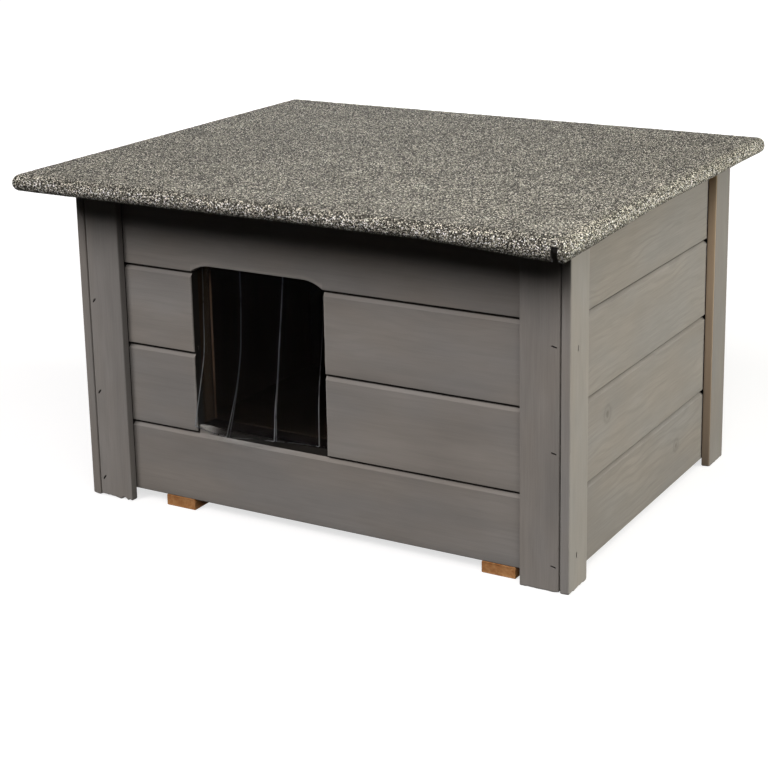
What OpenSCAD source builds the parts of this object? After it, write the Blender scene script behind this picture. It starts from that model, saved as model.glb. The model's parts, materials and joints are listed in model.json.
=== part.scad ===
// Outdoor cat house: an insulated tongue-and-groove box on two runners, with a flat felted roof
// that lifts on two hinges at the back and three clear strips hanging in the doorway.
// Millimetres, +Z up, front towards -Y, origin on the ground under the middle of the roof.

/* [House] */
// Width over the side corner boards
house_w = 578; // [520:1:680]
// Depth over the front and back corner boards
house_d = 424; // [380:1:500]

/* [Wall and roof boards] */
// Face height that one full board covers
board_cover = 88; // [82:1:100]
// Board thickness
board_t = 12.5; // [11.5:0.5:16]
// Face height of the bottom board, ripped down from a full one
bottom_face = 79; // [65:1:88]
// Drop of the side walls' lower edges below the front wall's
side_drop = 4; // [0:0.5:6]
// Bevel along the face edges, which makes the V joints
bevel = 3; // [1:0.5:3.5]
// Height of the tongue
tongue_h = 5; // [3:0.5:6]
// Thickness of the tongue
tongue_t = 4; // [3:0.5:4.5]
// Play of a tongue in its groove
tongue_play = 0.4; // [0.2:0.1:0.6]

/* [Corner boards] */
// Width of a corner board
trim_w = 42; // [40:1:50]
// Thickness of a corner board
trim_t = 10; // [9:0.5:12]
// Gap between a front or back corner board and the side corner board next to it
trim_gap = 1.2; // [0.4:0.1:2]

/* [Runners] */
// Width of a runner
runner_w = 38; // [30:1:50]
// Height of a runner
runner_h = 12.5; // [10:0.5:25]
// Distance of the left runner from the left wall's face
runner_left_in = 83; // [20:1:110]
// Distance of the right runner from the right wall's face
runner_right_in = 52; // [20:1:110]

/* [Doorway] */
// Width of the doorway
door_w = 162; // [140:1:190]
// Distance of the doorway's middle to the left of the house's middle
door_left = 69; // [20:1:80]
// Rise of the arch into the top board
arch_rise = 8; // [5:0.5:14]
// Length of each rounded end of the arch
arch_run = 24; // [16:1:34]
// Width of the battens that frame the doorway
frame_w = 20; // [15:1:28]
// Height of the head batten's underside above the arch
head_up = 2; // [1:0.5:6]

/* [Strip curtain] */
// Thickness of a strip
strip_t = 2; // [1.5:0.1:3]
// Gap between neighbouring strips
strip_gap = 0.8; // [0.4:0.1:1.6]
// Gap between the left jamb and the first strip
strip_left_gap = 4; // [2:0.5:8]
// Gap between the last strip and the right jamb
strip_right_gap = 9; // [3:0.5:12]
// Gap between the strips and the sill
strip_sill_gap = 2; // [1.5:0.5:8]
// Drop of the bending line below the foot of the arch
strip_drop = 2; // [1.8:0.1:6]
// Gap between a strip's clamped end and its swinging part
strip_play = 0.3; // [0.2:0.1:0.5]

/* [Insulation and lining] */
// Thickness of the wall insulation and of the corner posts
foam_t = 20; // [16:1:26]
// Thickness of the lining sheets
lining_t = 3; // [2:0.5:5]

/* [Floor] */
// Thickness of the base panel on the runners
base_t = 9; // [6:0.5:12]
// Thickness of the floor insulation
floor_foam_t = 20; // [12:1:25]
// Thickness of the floor panel
floor_panel_t = 5; // [3:0.5:8]

/* [Roof] */
// Overhang at the front, over the corner boards
eave_front = 69; // [40:1:90]
// Overhang at the back
eave_back = 40; // [40:1:48]
// Overhang at each side
eave_side = 26.5; // [22:0.5:40]
// Thickness of the roofing felt
felt_t = 2.5; // [1.5:0.5:3]
// Width of the felt turned under the roof boards
felt_under = 15; // [12:1:15]
// Rounding of the felt's edges
felt_round = 8; // [3:0.5:9]
// Bevel round the roof boards' outer edges, under the felt's rounding
deck_ease = 3; // [1:0.5:4]
// Gap between the wall tops and the closed roof
roof_gap = 0.3; // [0.2:0.1:0.6]
// Thickness of the roof insulation and height of the roof battens
roof_foam_t = 20; // [12:1:25]
// Thickness of the roof lining
roof_lining_t = 3; // [2:0.5:5]
// Gap left at each joint between roof boards
deck_gap = 0.3; // [0.2:0.1:0.8]
// Width of a roof batten
batten_w = 20; // [15:1:40]
// Gap between the roof's underside pack and the wall lining
pack_gap = 3; // [2:0.5:6]

/* [Hinges] */
// Length of a hinge
hinge_l = 40; // [34:1:42]
// Width of a leaf from the pin's axis
leaf_w = 18.5; // [15:0.5:18.5]
// Thickness of a leaf
leaf_t = 1.5; // [1.2:0.1:2]
// Diameter of the knuckles
knuckle_d = 6; // [5.6:0.1:6.6]
// Diameter of the pin
pin_d = 3; // [2.4:0.1:3.4]
// Radial play of the pin in the roof leaf
pin_play = 0.05; // [0.02:0.01:0.1]
// Gap between neighbouring knuckles and between a knuckle and the other leaf
knuckle_gap = 0.4; // [0.3:0.1:0.6]
// Diameter of a hinge screw
screw_d = 3; // [2.4:0.1:3.4]
// Diameter of a hinge screw's head
screw_head_d = 5.6; // [5:0.1:6]
// Length of a hinge screw
screw_l = 10; // [8:0.5:10.5]
// Distance of each screw from the middle of its hinge
screw_out = 12; // [9:0.5:13]
// Radial play of a fastener in its hole
hole_play = 0.05; // [0.02:0.01:0.1]

/* [Staples] */
// Width of a staple's crown
staple_w = 6; // [5:0.5:8]
// Length of a staple's legs
staple_leg = 14; // [12:0.5:15]
// Width of the wire, across the staple
wire_w = 1.2; // [1:0.1:1.4]
// Thickness of the wire, along the staple
wire_t = 0.9; // [0.8:0.1:1.1]
// Depth of a crown below the corner board's face
staple_sink = 0.8; // [0.5:0.1:1.2]
// Play round a staple
staple_play = 0.1; // [0.05:0.05:0.2]
// Distance of the front and back staples from the corner
staple_in = 7; // [6:0.5:9]
// Distance of the side staples from the corner
staple_side_in = 17; // [16.5:0.5:18.5]

/* [Felt nails] */
// Diameter of a clout nail's head
clout_head_d = 7; // [5:0.5:8]
// Thickness of a clout nail's head
clout_head_h = 1; // [0.6:0.1:1.2]
// Diameter of a clout nail's shank
clout_d = 2.2; // [1.8:0.1:2.8]
// Length of a clout nail's shank
clout_l = 9; // [7:0.5:11]
// Number of clout nails along the front edge, and along the back edge
clout_count = 7; // [5:1:9]
// Distance of the first and last of them from the roof's sides
clout_in = 40; // [30:1:60]

/* [Hidden] */
$fn = 48;
rows = 4;
// height of each staple above its board's lower edge: front left, front right, sides
staple_up = [[9.5, 29.5, 44.5, 52], [14, 50.5, 68, 45], [23.5, 40, 64.5, 50]];
staple_turn = [-52, 12, 96];

function row_z(r) = runner_h + (r == 0 ? 0 : bottom_face + (r - 1) * board_cover);
function row_h(r) = r == 0 ? bottom_face : board_cover;
wall_top = row_z(rows);

// roof plan and house plan
roof_w = house_w + 2 * eave_side;
roof_d = house_d + eave_front + eave_back;
front_y = eave_front - roof_d / 2;
back_y = front_y + house_d;
mid_y = (front_y + back_y) / 2;

// wall planes
wall_x = house_w / 2 - trim_t;
wall_y0 = front_y + trim_t;
wall_y1 = back_y - trim_t;
board_x = wall_x - board_t;
board_y0 = wall_y0 + board_t;
board_y1 = wall_y1 - board_t;
foam_x = board_x - foam_t;
foam_y0 = board_y0 + foam_t;
foam_y1 = board_y1 - foam_t;
cabin_x = foam_x - lining_t;
cabin_y0 = foam_y0 + lining_t;
cabin_y1 = foam_y1 - lining_t;

// floor levels
base_z = runner_h + base_t;
panel_z = base_z + floor_foam_t;
floor_z = panel_z + floor_panel_t;

// doorway
door_x0 = -door_left - door_w / 2;
door_x1 = door_x0 + door_w;
sill_z = row_z(1) + tongue_h;
arch_z = row_z(3) + arch_rise;
arch_r = (arch_run * arch_run + arch_rise * arch_rise) / (2 * arch_rise);
head_z = arch_z + head_up;

// strips
strip_n = 3;
strip_room = door_w - strip_left_gap - strip_right_gap - (strip_n - 1) * strip_gap;
strip_w = strip_room / strip_n;
strip_y = board_y0 + strip_t / 2;
strip_axis_z = row_z(3) - strip_drop;
strip_z0 = sill_z + strip_sill_gap;
function strip_x(k) = door_x0 + strip_left_gap + k * (strip_w + strip_gap);

// boards
tongue_y = (board_t - tongue_t) / 2;

// roof
deck_w = roof_w - 2 * felt_t;
deck_d = roof_d - 2 * felt_t;
deck_z = wall_top + roof_gap;
felt_r = min(felt_round, board_t / 2 + felt_t - 0.3, 1.7 * (2 * felt_t + deck_ease) - 2);
deck_n = round(deck_d / board_cover);
deck_cover = deck_d / deck_n;
function deck_h(k) = k < deck_n - 1 ? deck_cover - deck_gap : deck_cover;
pack_x = cabin_x - pack_gap;
pack_y0 = cabin_y0 + pack_gap;
pack_d = cabin_y1 - pack_gap - pack_y0;
roof_lining_z = deck_z - roof_foam_t - roof_lining_t;

// hinges
hinge_x = wall_x - trim_gap - trim_w / 2;
hinge_y = back_y + knuckle_d / 2;
hinge_z = deck_z - knuckle_d / 2;
leaf_in = knuckle_d / 2 + knuckle_gap;
third = hinge_l / 3;
screw_at = (leaf_in + leaf_w) / 2;

front_boards = ["front_board_1", "front_board_2_left", "front_board_2_right",
  "front_board_3_left", "front_board_3_right", "front_board_4"];
function numbered(word) = [for (r = [1:rows]) str(word, r)];

// a wall frame: x to the right as seen from outside, y into the house, y 0 on the corner boards' face
module on_front() { translate([0, front_y, 0]) children(); }
module on_back() { translate([0, back_y, 0]) rotate([0, 0, 180]) children(); }
module on_right() { translate([house_w / 2, mid_y, 0]) rotate([0, 0, 90]) children(); }
module on_left() { translate([-house_w / 2, mid_y, 0]) rotate([0, 0, -90]) children(); }

// a block between two corners
module block(low, high) { translate(low) cube(high - low); }

// a board's section: x from its face to its back, y from its groove edge to its tongue edge
function board_section(h, groove, tongue) = concat(
  groove ? [[bevel, 0], [0, bevel]] : [[0, 0]],
  tongue ? [[0, h - bevel], [bevel, h]] : [[0, h]],
  tongue ? [[tongue_y, h], [tongue_y, h + tongue_h]] : [],
  tongue ? [[tongue_y + tongue_t, h + tongue_h], [tongue_y + tongue_t, h]] : [],
  [[board_t, h], [board_t, 0]],
  groove ? [[tongue_y + tongue_t + tongue_play, 0]] : [],
  groove ? [[tongue_y + tongue_t + tongue_play, tongue_h + tongue_play]] : [],
  groove ? [[tongue_y - tongue_play, tongue_h + tongue_play]] : [],
  groove ? [[tongue_y - tongue_play, 0]] : []
);

// a board from x0 to x1 with its face at y 0 and its lower edge at z 0
module board(x0, x1, h, groove, tongue) {
  translate([x0, 0, 0])
    rotate([90, 0, 90])
      linear_extrude(x1 - x0)
        polygon(board_section(h, groove, tongue));
}

// the board of row r in a wall frame, the bottom one reaching lower by drop
module wall_board(r, x0, x1, drop = 0) {
  low = r == 0 ? drop : 0;
  translate([0, trim_t, row_z(r) - low])
    board(x0, x1, row_h(r) + low, r > 0, r < rows - 1);
}

module staple(grow, reach) {
  translate([-staple_w / 2 - grow, staple_sink - reach, -wire_w / 2 - grow])
    cube([staple_w + 2 * grow, wire_t + grow + reach, wire_w + 2 * grow]);
  for (s = [-1, 1])
    translate([s * (staple_w - wire_t) / 2 - wire_t / 2 - grow, staple_sink, -wire_w / 2 - grow])
      cube([wire_t + 2 * grow, staple_leg + grow, wire_w + 2 * grow]);
}

// the staple of row r at side s of a wall whose corner boards reach out to half
module staple_at(r, s, half, inset, kind, grow, reach) {
  translate([s * (half - inset), 0, row_z(r) + staple_up[kind][r]])
    rotate([0, staple_turn[kind], 0])
      staple(grow, reach);
}

module end_staple(r, s, grow, reach) {
  staple_at(r, s, wall_x, staple_in, s < 0 ? 0 : 1, grow, reach);
}

module side_staple(r, s, grow, reach) {
  staple_at(r, s, house_d / 2, staple_side_in, 2, grow, reach);
}

// slots for the staples that enter row r of the front wall, or of the back wall
module front_slots(r) {
  on_front() for (s = [-1, 1]) end_staple(r, s, staple_play, 0);
  on_right() side_staple(r, -1, staple_play, 0);
  on_left() side_staple(r, 1, staple_play, 0);
}

module back_slots(r) {
  on_back() for (s = [-1, 1]) end_staple(r, s, staple_play, 0);
  on_right() side_staple(r, 1, staple_play, 0);
  on_left() side_staple(r, -1, staple_play, 0);
}

module front_board(r, x0, x1) {
  color("dimgray")
    difference() {
      on_front() wall_board(r, x0, x1);
      front_slots(r);
    }
}

module arch_cut() {
  y0 = wall_y0 - 1;
  for (x = [door_x0 + arch_run, door_x1 - arch_run])
    translate([x, y0, arch_z - arch_r])
      rotate([-90, 0, 0])
        cylinder(h = board_t + 2, r = arch_r);
  block([door_x0 + arch_run, y0, row_z(2)], [door_x1 - arch_run, board_y0 + 1, arch_z]);
}

module front_board_4() {
  color("dimgray")
    difference() {
      front_board(3, -wall_x, wall_x);
      arch_cut();
    }
}

module back_board(r) {
  color("dimgray")
    difference() {
      on_back() wall_board(r, -wall_x, wall_x);
      back_slots(r);
    }
}

module right_board(r) {
  color("gray") on_right() wall_board(r, mid_y - board_y1, board_y1 - mid_y, side_drop);
}

module left_board(r) {
  color("gray") on_left() wall_board(r, mid_y - board_y1, board_y1 - mid_y, side_drop);
}

// a corner board at side s of a wall frame
module trim(s, half) {
  translate([s > 0 ? half - trim_w : -half, 0, 0])
    cube([trim_w, trim_t, wall_top]);
}

module end_trim(s) {
  difference() {
    trim(s, wall_x - trim_gap);
    for (r = [0:rows - 1]) end_staple(r, s, staple_play, 2);
  }
}

module side_trim(s) {
  difference() {
    trim(s, house_d / 2);
    for (r = [0:rows - 1]) side_staple(r, s, staple_play, 2);
  }
}

module front_trim(s) { color("darkgray") on_front() end_trim(s); }
module right_trim(s) { color("darkgray") on_right() side_trim(s); }
module left_trim(s) { color("darkgray") on_left() side_trim(s); }

// s is the side as seen from the back
module back_trim(s) {
  color("darkgray")
    difference() {
      on_back() end_trim(s);
      wall_screws(hole_play);
    }
}

module trim_staples() {
  color("black") {
    for (r = [0:rows - 1], s = [-1, 1]) {
      on_front() union() { end_staple(r, s, 0, 0); }
      on_back() union() { end_staple(r, s, 0, 0); }
      on_right() union() { side_staple(r, s, 0, 0); }
      on_left() union() { side_staple(r, s, 0, 0); }
    }
  }
}

module corner_posts() {
  color("burlywood")
    for (x = [-board_x, foam_x], y = [board_y0, foam_y1])
      block([x, y, base_z], [x + foam_t, y + foam_t, wall_top]);
}

module runner(x) {
  color("sandybrown")
    block([x, wall_y0, 0], [x + runner_w, wall_y1, runner_h]);
}

module floor_base() {
  color("burlywood")
    block([-board_x, board_y0, runner_h], [board_x, board_y1, base_z]);
}

module floor_insulation() {
  color("white")
    block([-cabin_x, cabin_y0, base_z], [cabin_x, cabin_y1, panel_z]);
}

module floor_panel() {
  color("burlywood")
    block([-cabin_x, cabin_y0, panel_z], [cabin_x, cabin_y1, floor_z]);
}

module front_insulation() {
  color("white")
    difference() {
      block([-foam_x, board_y0, base_z], [foam_x, foam_y0, wall_top]);
      block([door_x0 - frame_w, board_y0 - 1, sill_z - frame_w],
        [door_x1 + frame_w, foam_y0 + 1, head_z + frame_w]);
    }
}

module back_insulation() {
  color("white")
    block([-foam_x, foam_y1, base_z], [foam_x, board_y1, wall_top]);
}

module side_insulation() {
  color("white")
    for (x = [-board_x, foam_x])
      block([x, foam_y0, base_z], [x + foam_t, foam_y1, wall_top]);
}

module front_lining() {
  color("wheat")
    difference() {
      block([-foam_x, foam_y0, base_z], [foam_x, cabin_y0, wall_top]);
      block([door_x0, foam_y0 - 1, sill_z], [door_x1, cabin_y0 + 1, head_z]);
    }
}

module back_lining() {
  color("wheat")
    block([-foam_x, cabin_y1, base_z], [foam_x, foam_y1, wall_top]);
}

module side_lining(x) {
  color("wheat")
    block([x, cabin_y0, base_z], [x + lining_t, cabin_y1, wall_top]);
}

module door_jamb(x) {
  color("peru")
    block([x, board_y0, sill_z], [x + frame_w, foam_y0, head_z]);
}

module door_head() {
  color("peru")
    block([door_x0 - frame_w, board_y0 + strip_t, head_z],
      [door_x1 + frame_w, foam_y0, head_z + frame_w]);
}

module door_sill() {
  color("peru")
    block([door_x0 - frame_w, board_y0, sill_z - frame_w], [door_x1 + frame_w, foam_y0, sill_z]);
}

module strip_clamped_ends() {
  color("lightblue")
    for (k = [0:strip_n - 1])
      block([strip_x(k), board_y0, strip_axis_z + strip_t / 2 + strip_play],
        [strip_x(k) + strip_w, board_y0 + strip_t, head_z + frame_w]);
}

module strip(k) {
  color("lightblue")
    union() {
      block([strip_x(k), board_y0, strip_z0],
        [strip_x(k) + strip_w, board_y0 + strip_t, strip_axis_z]);
      translate([strip_x(k), strip_y, strip_axis_z])
        rotate([0, 90, 0])
          cylinder(h = strip_w, d = strip_t);
    }
}

// a rectangle with rounded or bevelled corners, centred across and standing on y 0
module round_rect(w, h, r) {
  translate([r - w / 2, 0]) square([w - 2 * r, h]);
  translate([-w / 2, r]) square([w, h - 2 * r]);
  for (x = [r - w / 2, w / 2 - r], y = [r, h - r])
    translate([x, y]) circle(r);
}

module bevel_rect(w, h, c) {
  polygon([[c - w / 2, 0], [w / 2 - c, 0], [w / 2, c], [w / 2, h - c],
    [w / 2 - c, h], [c - w / 2, h], [-w / 2, h - c], [-w / 2, c]]);
}

// the roof boards' outline with their outer edges bevelled
module deck_slab() {
  translate([0, 0, deck_z])
    intersection() {
      translate([0, deck_d / 2, 0])
        rotate([90, 0, 0])
          linear_extrude(deck_d)
            bevel_rect(deck_w, board_t, deck_ease);
      translate([-deck_w / 2, 0, 0])
        rotate([90, 0, 90])
          linear_extrude(deck_w)
            bevel_rect(deck_d, board_t, deck_ease);
    }
}

module roof_boards() {
  color("burlywood")
    difference() {
      intersection() {
        for (k = [0:deck_n - 1])
          translate([0, k * deck_cover - deck_d / 2, deck_z])
            mirror([0, 1, 0])
              rotate([90, 0, 0])
                board(-deck_w / 2, deck_w / 2, deck_h(k), k > 0, k < deck_n - 1);
        deck_slab();
      }
      roof_screws(hole_play);
      clouts(hole_play);
    }
}

module roof_felt() {
  thick = board_t + 2 * felt_t;
  color("darkslategray")
    difference() {
      translate([0, 0, deck_z - felt_t])
        intersection() {
          translate([0, roof_d / 2, 0])
            rotate([90, 0, 0])
              linear_extrude(roof_d)
                round_rect(roof_w, thick, felt_r);
          translate([-roof_w / 2, 0, 0])
            rotate([90, 0, 90])
              linear_extrude(roof_w)
                round_rect(roof_d, thick, felt_r);
        }
      deck_slab();
      block([felt_under - deck_w / 2, felt_under - deck_d / 2, deck_z - felt_t - 1],
        [deck_w / 2 - felt_under, deck_d / 2 - felt_under, deck_z + 1]);
      clouts(hole_play);
    }
}

// clout nails under the felt's turned edge, with their heads at the felt
module clout(grow) {
  translate([0, 0, deck_z - felt_t]) {
    translate([0, 0, -clout_head_h]) cylinder(h = clout_head_h, d = clout_head_d);
    cylinder(h = clout_l + grow, r = clout_d / 2 + grow);
  }
}

module clouts(grow) {
  edge_x = deck_w / 2 - felt_under / 2;
  edge_y = deck_d / 2 - felt_under / 2;
  span = deck_w - 2 * clout_in;
  for (k = [0:clout_count - 1], y = [-edge_y, edge_y])
    translate([k * span / (clout_count - 1) - span / 2, y, 0]) clout(grow);
  for (k = [0:deck_n - 1], x = [-edge_x, edge_x])
    translate([x, (k + 0.5) * deck_cover - deck_d / 2, 0]) clout(grow);
}

module felt_nails() { color("silver") clouts(0); }

module roof_battens() {
  color("burlywood")
    for (x = [-pack_x, pack_x - batten_w])
      block([x, pack_y0, deck_z - roof_foam_t], [x + batten_w, pack_y0 + pack_d, deck_z]);
}

module roof_insulation() {
  color("white")
    block([batten_w - pack_x, pack_y0, deck_z - roof_foam_t],
      [pack_x - batten_w, pack_y0 + pack_d, deck_z]);
}

module roof_lining() {
  color("wheat")
    block([-pack_x, pack_y0, roof_lining_z], [pack_x, pack_y0 + pack_d, deck_z - roof_foam_t]);
}

// hinge frame: origin on the pin's axis at the middle of the hinge
module at_hinges() {
  for (x = [-hinge_x, hinge_x]) translate([x, hinge_y, hinge_z]) children();
}

module rod(x0, x1, r) {
  translate([x0, 0, 0])
    rotate([0, 90, 0])
      cylinder(h = x1 - x0, r = r);
}

module wall_leaf() {
  y0 = -knuckle_d / 2;
  difference() {
    union() {
      block([-hinge_l / 2, y0, -leaf_w], [hinge_l / 2, y0 + leaf_t, -leaf_in]);
      for (x = [-hinge_l / 2, third / 2 + knuckle_gap / 2]) {
        block([x, y0, -leaf_in], [x + third - knuckle_gap / 2, y0 + leaf_t, 0]);
        rod(x, x + third - knuckle_gap / 2, knuckle_d / 2);
      }
    }
    rod(-hinge_l, hinge_l, pin_d / 2 + hole_play);
  }
}

module roof_leaf() {
  z1 = knuckle_d / 2;
  difference() {
    union() {
      block([-hinge_l / 2, leaf_in, z1 - leaf_t], [hinge_l / 2, leaf_w, z1]);
      block([knuckle_gap / 2 - third / 2, 0, z1 - leaf_t], [third / 2 - knuckle_gap / 2, leaf_in, z1]);
      rod(knuckle_gap / 2 - third / 2, third / 2 - knuckle_gap / 2, knuckle_d / 2);
    }
    rod(-hinge_l, hinge_l, pin_d / 2 + pin_play);
  }
}

// a countersunk screw driven towards +z, with the top of its head at z 0
module screw(grow) {
  cylinder(h = leaf_t, r1 = screw_head_d / 2 + grow, r2 = screw_d / 2 + grow);
  cylinder(h = screw_l + grow, r = screw_d / 2 + grow);
}

module wall_screws(grow) {
  at_hinges()
    for (x = [-screw_out, screw_out])
      translate([x, leaf_t - knuckle_d / 2, -screw_at])
        rotate([90, 0, 0])
          screw(grow);
}

module roof_screws(grow) {
  at_hinges()
    for (x = [-screw_out, screw_out])
      translate([x, screw_at, knuckle_d / 2 - leaf_t])
        screw(grow);
}

module hinge_wall_leaves() {
  color("silver")
    difference() {
      at_hinges() wall_leaf();
      wall_screws(hole_play);
    }
}

module hinge_roof_leaves() {
  color("silver")
    difference() {
      at_hinges() roof_leaf();
      roof_screws(hole_play);
    }
}

module hinge_pins() { color("gray") at_hinges() rod(-hinge_l / 2, hinge_l / 2, pin_d / 2); }
module hinge_wall_screws() { color("gray") wall_screws(0); }
module hinge_roof_screws() { color("gray") roof_screws(0); }

front_board(0, -wall_x, wall_x);  // front_board_1
front_board(1, -wall_x, door_x0);  // front_board_2_left
front_board(1, door_x1, wall_x);  // front_board_2_right
front_board(2, -wall_x, door_x0);  // front_board_3_left
front_board(2, door_x1, wall_x);  // front_board_3_right
front_board_4();
for (r = [1:rows]) right_board(r - 1);
for (r = [1:rows]) left_board(r - 1);
for (r = [1:rows]) back_board(r - 1);
front_trim(-1);  // front_trim_left
front_trim(1);  // front_trim_right
back_trim(1);  // back_trim_left
back_trim(-1);  // back_trim_right
left_trim(1);  // left_trim_front
left_trim(-1);  // left_trim_back
right_trim(-1);  // right_trim_front
right_trim(1);  // right_trim_back
trim_staples();
corner_posts();
runner(runner_left_in - wall_x);  // runner_left
runner(wall_x - runner_right_in - runner_w);  // runner_right
floor_base();
floor_insulation();
floor_panel();
front_insulation();
back_insulation();
side_insulation();
front_lining();
back_lining();
side_lining(-foam_x);  // left_lining
side_lining(cabin_x);  // right_lining
door_jamb(door_x0 - frame_w);  // door_jamb_left
door_jamb(door_x1);  // door_jamb_right
door_head();
door_sill();
strip_clamped_ends();
strip(0);  // strip_left
strip(1);  // strip_middle
strip(2);  // strip_right
roof_boards();
roof_felt();
felt_nails();
roof_battens();
roof_insulation();
roof_lining();
hinge_wall_leaves();
hinge_roof_leaves();
hinge_pins();
hinge_wall_screws();
hinge_roof_screws();
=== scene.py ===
import json
import math

import bmesh
import bpy
import numpy as np
from mathutils import Matrix, Vector, noise

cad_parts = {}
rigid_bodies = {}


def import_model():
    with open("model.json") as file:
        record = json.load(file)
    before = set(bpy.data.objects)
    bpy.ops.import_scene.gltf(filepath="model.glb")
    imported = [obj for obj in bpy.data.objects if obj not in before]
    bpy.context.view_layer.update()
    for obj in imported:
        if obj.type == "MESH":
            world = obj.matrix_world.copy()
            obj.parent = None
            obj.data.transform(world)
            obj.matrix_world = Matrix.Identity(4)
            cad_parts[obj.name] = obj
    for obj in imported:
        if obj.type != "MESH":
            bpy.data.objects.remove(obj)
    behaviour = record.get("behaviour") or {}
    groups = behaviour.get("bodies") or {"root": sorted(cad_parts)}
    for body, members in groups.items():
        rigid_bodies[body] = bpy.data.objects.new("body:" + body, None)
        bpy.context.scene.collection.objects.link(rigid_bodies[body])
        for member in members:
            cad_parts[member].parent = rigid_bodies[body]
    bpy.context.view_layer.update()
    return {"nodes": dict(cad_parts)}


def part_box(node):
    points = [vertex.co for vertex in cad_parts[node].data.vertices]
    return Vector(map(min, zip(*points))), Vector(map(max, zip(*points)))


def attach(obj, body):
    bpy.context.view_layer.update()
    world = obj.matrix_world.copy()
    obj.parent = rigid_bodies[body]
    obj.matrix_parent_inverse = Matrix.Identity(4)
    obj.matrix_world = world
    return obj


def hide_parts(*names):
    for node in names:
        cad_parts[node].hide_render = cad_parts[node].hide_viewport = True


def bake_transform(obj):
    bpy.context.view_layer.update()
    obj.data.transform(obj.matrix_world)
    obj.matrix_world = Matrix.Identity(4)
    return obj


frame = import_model()
cadNodes = frame["nodes"]
scene = bpy.context.scene
for leftover in [o for o in bpy.data.objects if o.name in ("Cube", "Light", "Camera")]:
    bpy.data.objects.remove(leftover)
mm = 0.001
print("frame loaded:", len(cadNodes), "nodes")


def addObject(name, data):
    made = bpy.data.objects.new(name, data)
    scene.collection.objects.link(made)
    return made


# camera, at the photograph's viewing angle
photoView = {
    "place": (0.9486, -1.6452, 0.7457),
    "yaw": -28.62,
    "pitch": -14.51,
    "roll": -0.60,
    "lens": 84.21,
    "shift": (-0.0808, -0.1624),
    "sensor": 36.0,
    "clip": (0.05, 200.0),
}


def aimCamera(view):
    data = bpy.data.cameras.new("photoCamera")
    data.lens, data.sensor_width = view["lens"], view["sensor"]
    data.shift_x, data.shift_y = view["shift"]
    data.clip_start, data.clip_end = view["clip"]
    yaw, pitch, roll = (math.radians(view[k]) for k in ("yaw", "pitch", "roll"))
    ahead = Vector((math.sin(yaw) * math.cos(pitch), math.cos(yaw) * math.cos(pitch), math.sin(pitch)))
    right = ahead.cross(Vector((0, 0, 1))).normalized()
    up = right.cross(ahead)
    right, up = right * math.cos(roll) + up * math.sin(roll), up * math.cos(roll) - right * math.sin(roll)
    turn = Matrix((right, up, -ahead)).transposed().to_4x4()
    scene.camera = addObject("photoCamera", data)
    scene.camera.matrix_world = Matrix.Translation(view["place"]) @ turn


aimCamera(photoView)


# node helpers: short kinds such as Math are shader nodes
def feed(tree, made, inputs):
    for key, value in inputs.items():
        if isinstance(value, bpy.types.NodeSocket):
            tree.links.new(value, made.inputs[key])
        else:
            made.inputs[key].default_value = value


def place(tree, kind, inputs=None, **settings):
    made = tree.nodes.new(kind if "Node" in kind else "ShaderNode" + kind)
    for key, value in settings.items():
        setattr(made, key, value)
    feed(tree, made, inputs or {})
    return made


def valueOf(tree, kind, inputs=None, **settings):
    return place(tree, kind, inputs, **settings).outputs[0]


def sumOf(tree, kind, a, b=0.0):
    return valueOf(tree, "Math", {0: a, 1: b}, operation=kind)


def times(tree, a, b):
    return sumOf(tree, "MULTIPLY", a, b)


def plus(tree, a, b):
    return sumOf(tree, "ADD", a, b)


def blendOf(tree, share, one, other, kind="MIX"):
    return place(tree, "Mix", {0: share, 6: one, 7: other}, data_type="RGBA", blend_type=kind).outputs[2]


def shadeBy(tree, colour, factor):
    return blendOf(tree, 1.0, colour, factor, "MULTIPLY")


def spread(tree, value, low, high, toLow=0.0, toHigh=1.0):
    names = {"Value": value, "From Min": low, "From Max": high, "To Min": toLow, "To Max": toHigh}
    return valueOf(tree, "MapRange", names)


def scaled(tree, vector, factors):
    return valueOf(tree, "VectorMath", {0: vector, 1: factors}, operation="MULTIPLY")


def cloudy(tree, vector, factors, detail=3.0, rough=0.55, twist=0.0):
    names = {"Vector": scaled(tree, vector, factors), "Scale": 1.0, "Detail": detail, "Roughness": rough,
             "Distortion": twist}
    return valueOf(tree, "TexNoise", names)


def measured(tree, kind, inputs):
    return place(tree, "VectorMath", inputs, operation=kind).outputs["Value"]


def near(tree, value, centre, reach):
    return sumOf(tree, "LESS_THAN", sumOf(tree, "ABSOLUTE", sumOf(tree, "SUBTRACT", value, centre)), reach)


def objectPlace(tree):
    return place(tree, "TexCoord").outputs["Object"]


def emptyTree(holder):
    holder.use_nodes = True
    holder.node_tree.nodes.clear()
    return holder.node_tree


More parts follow.
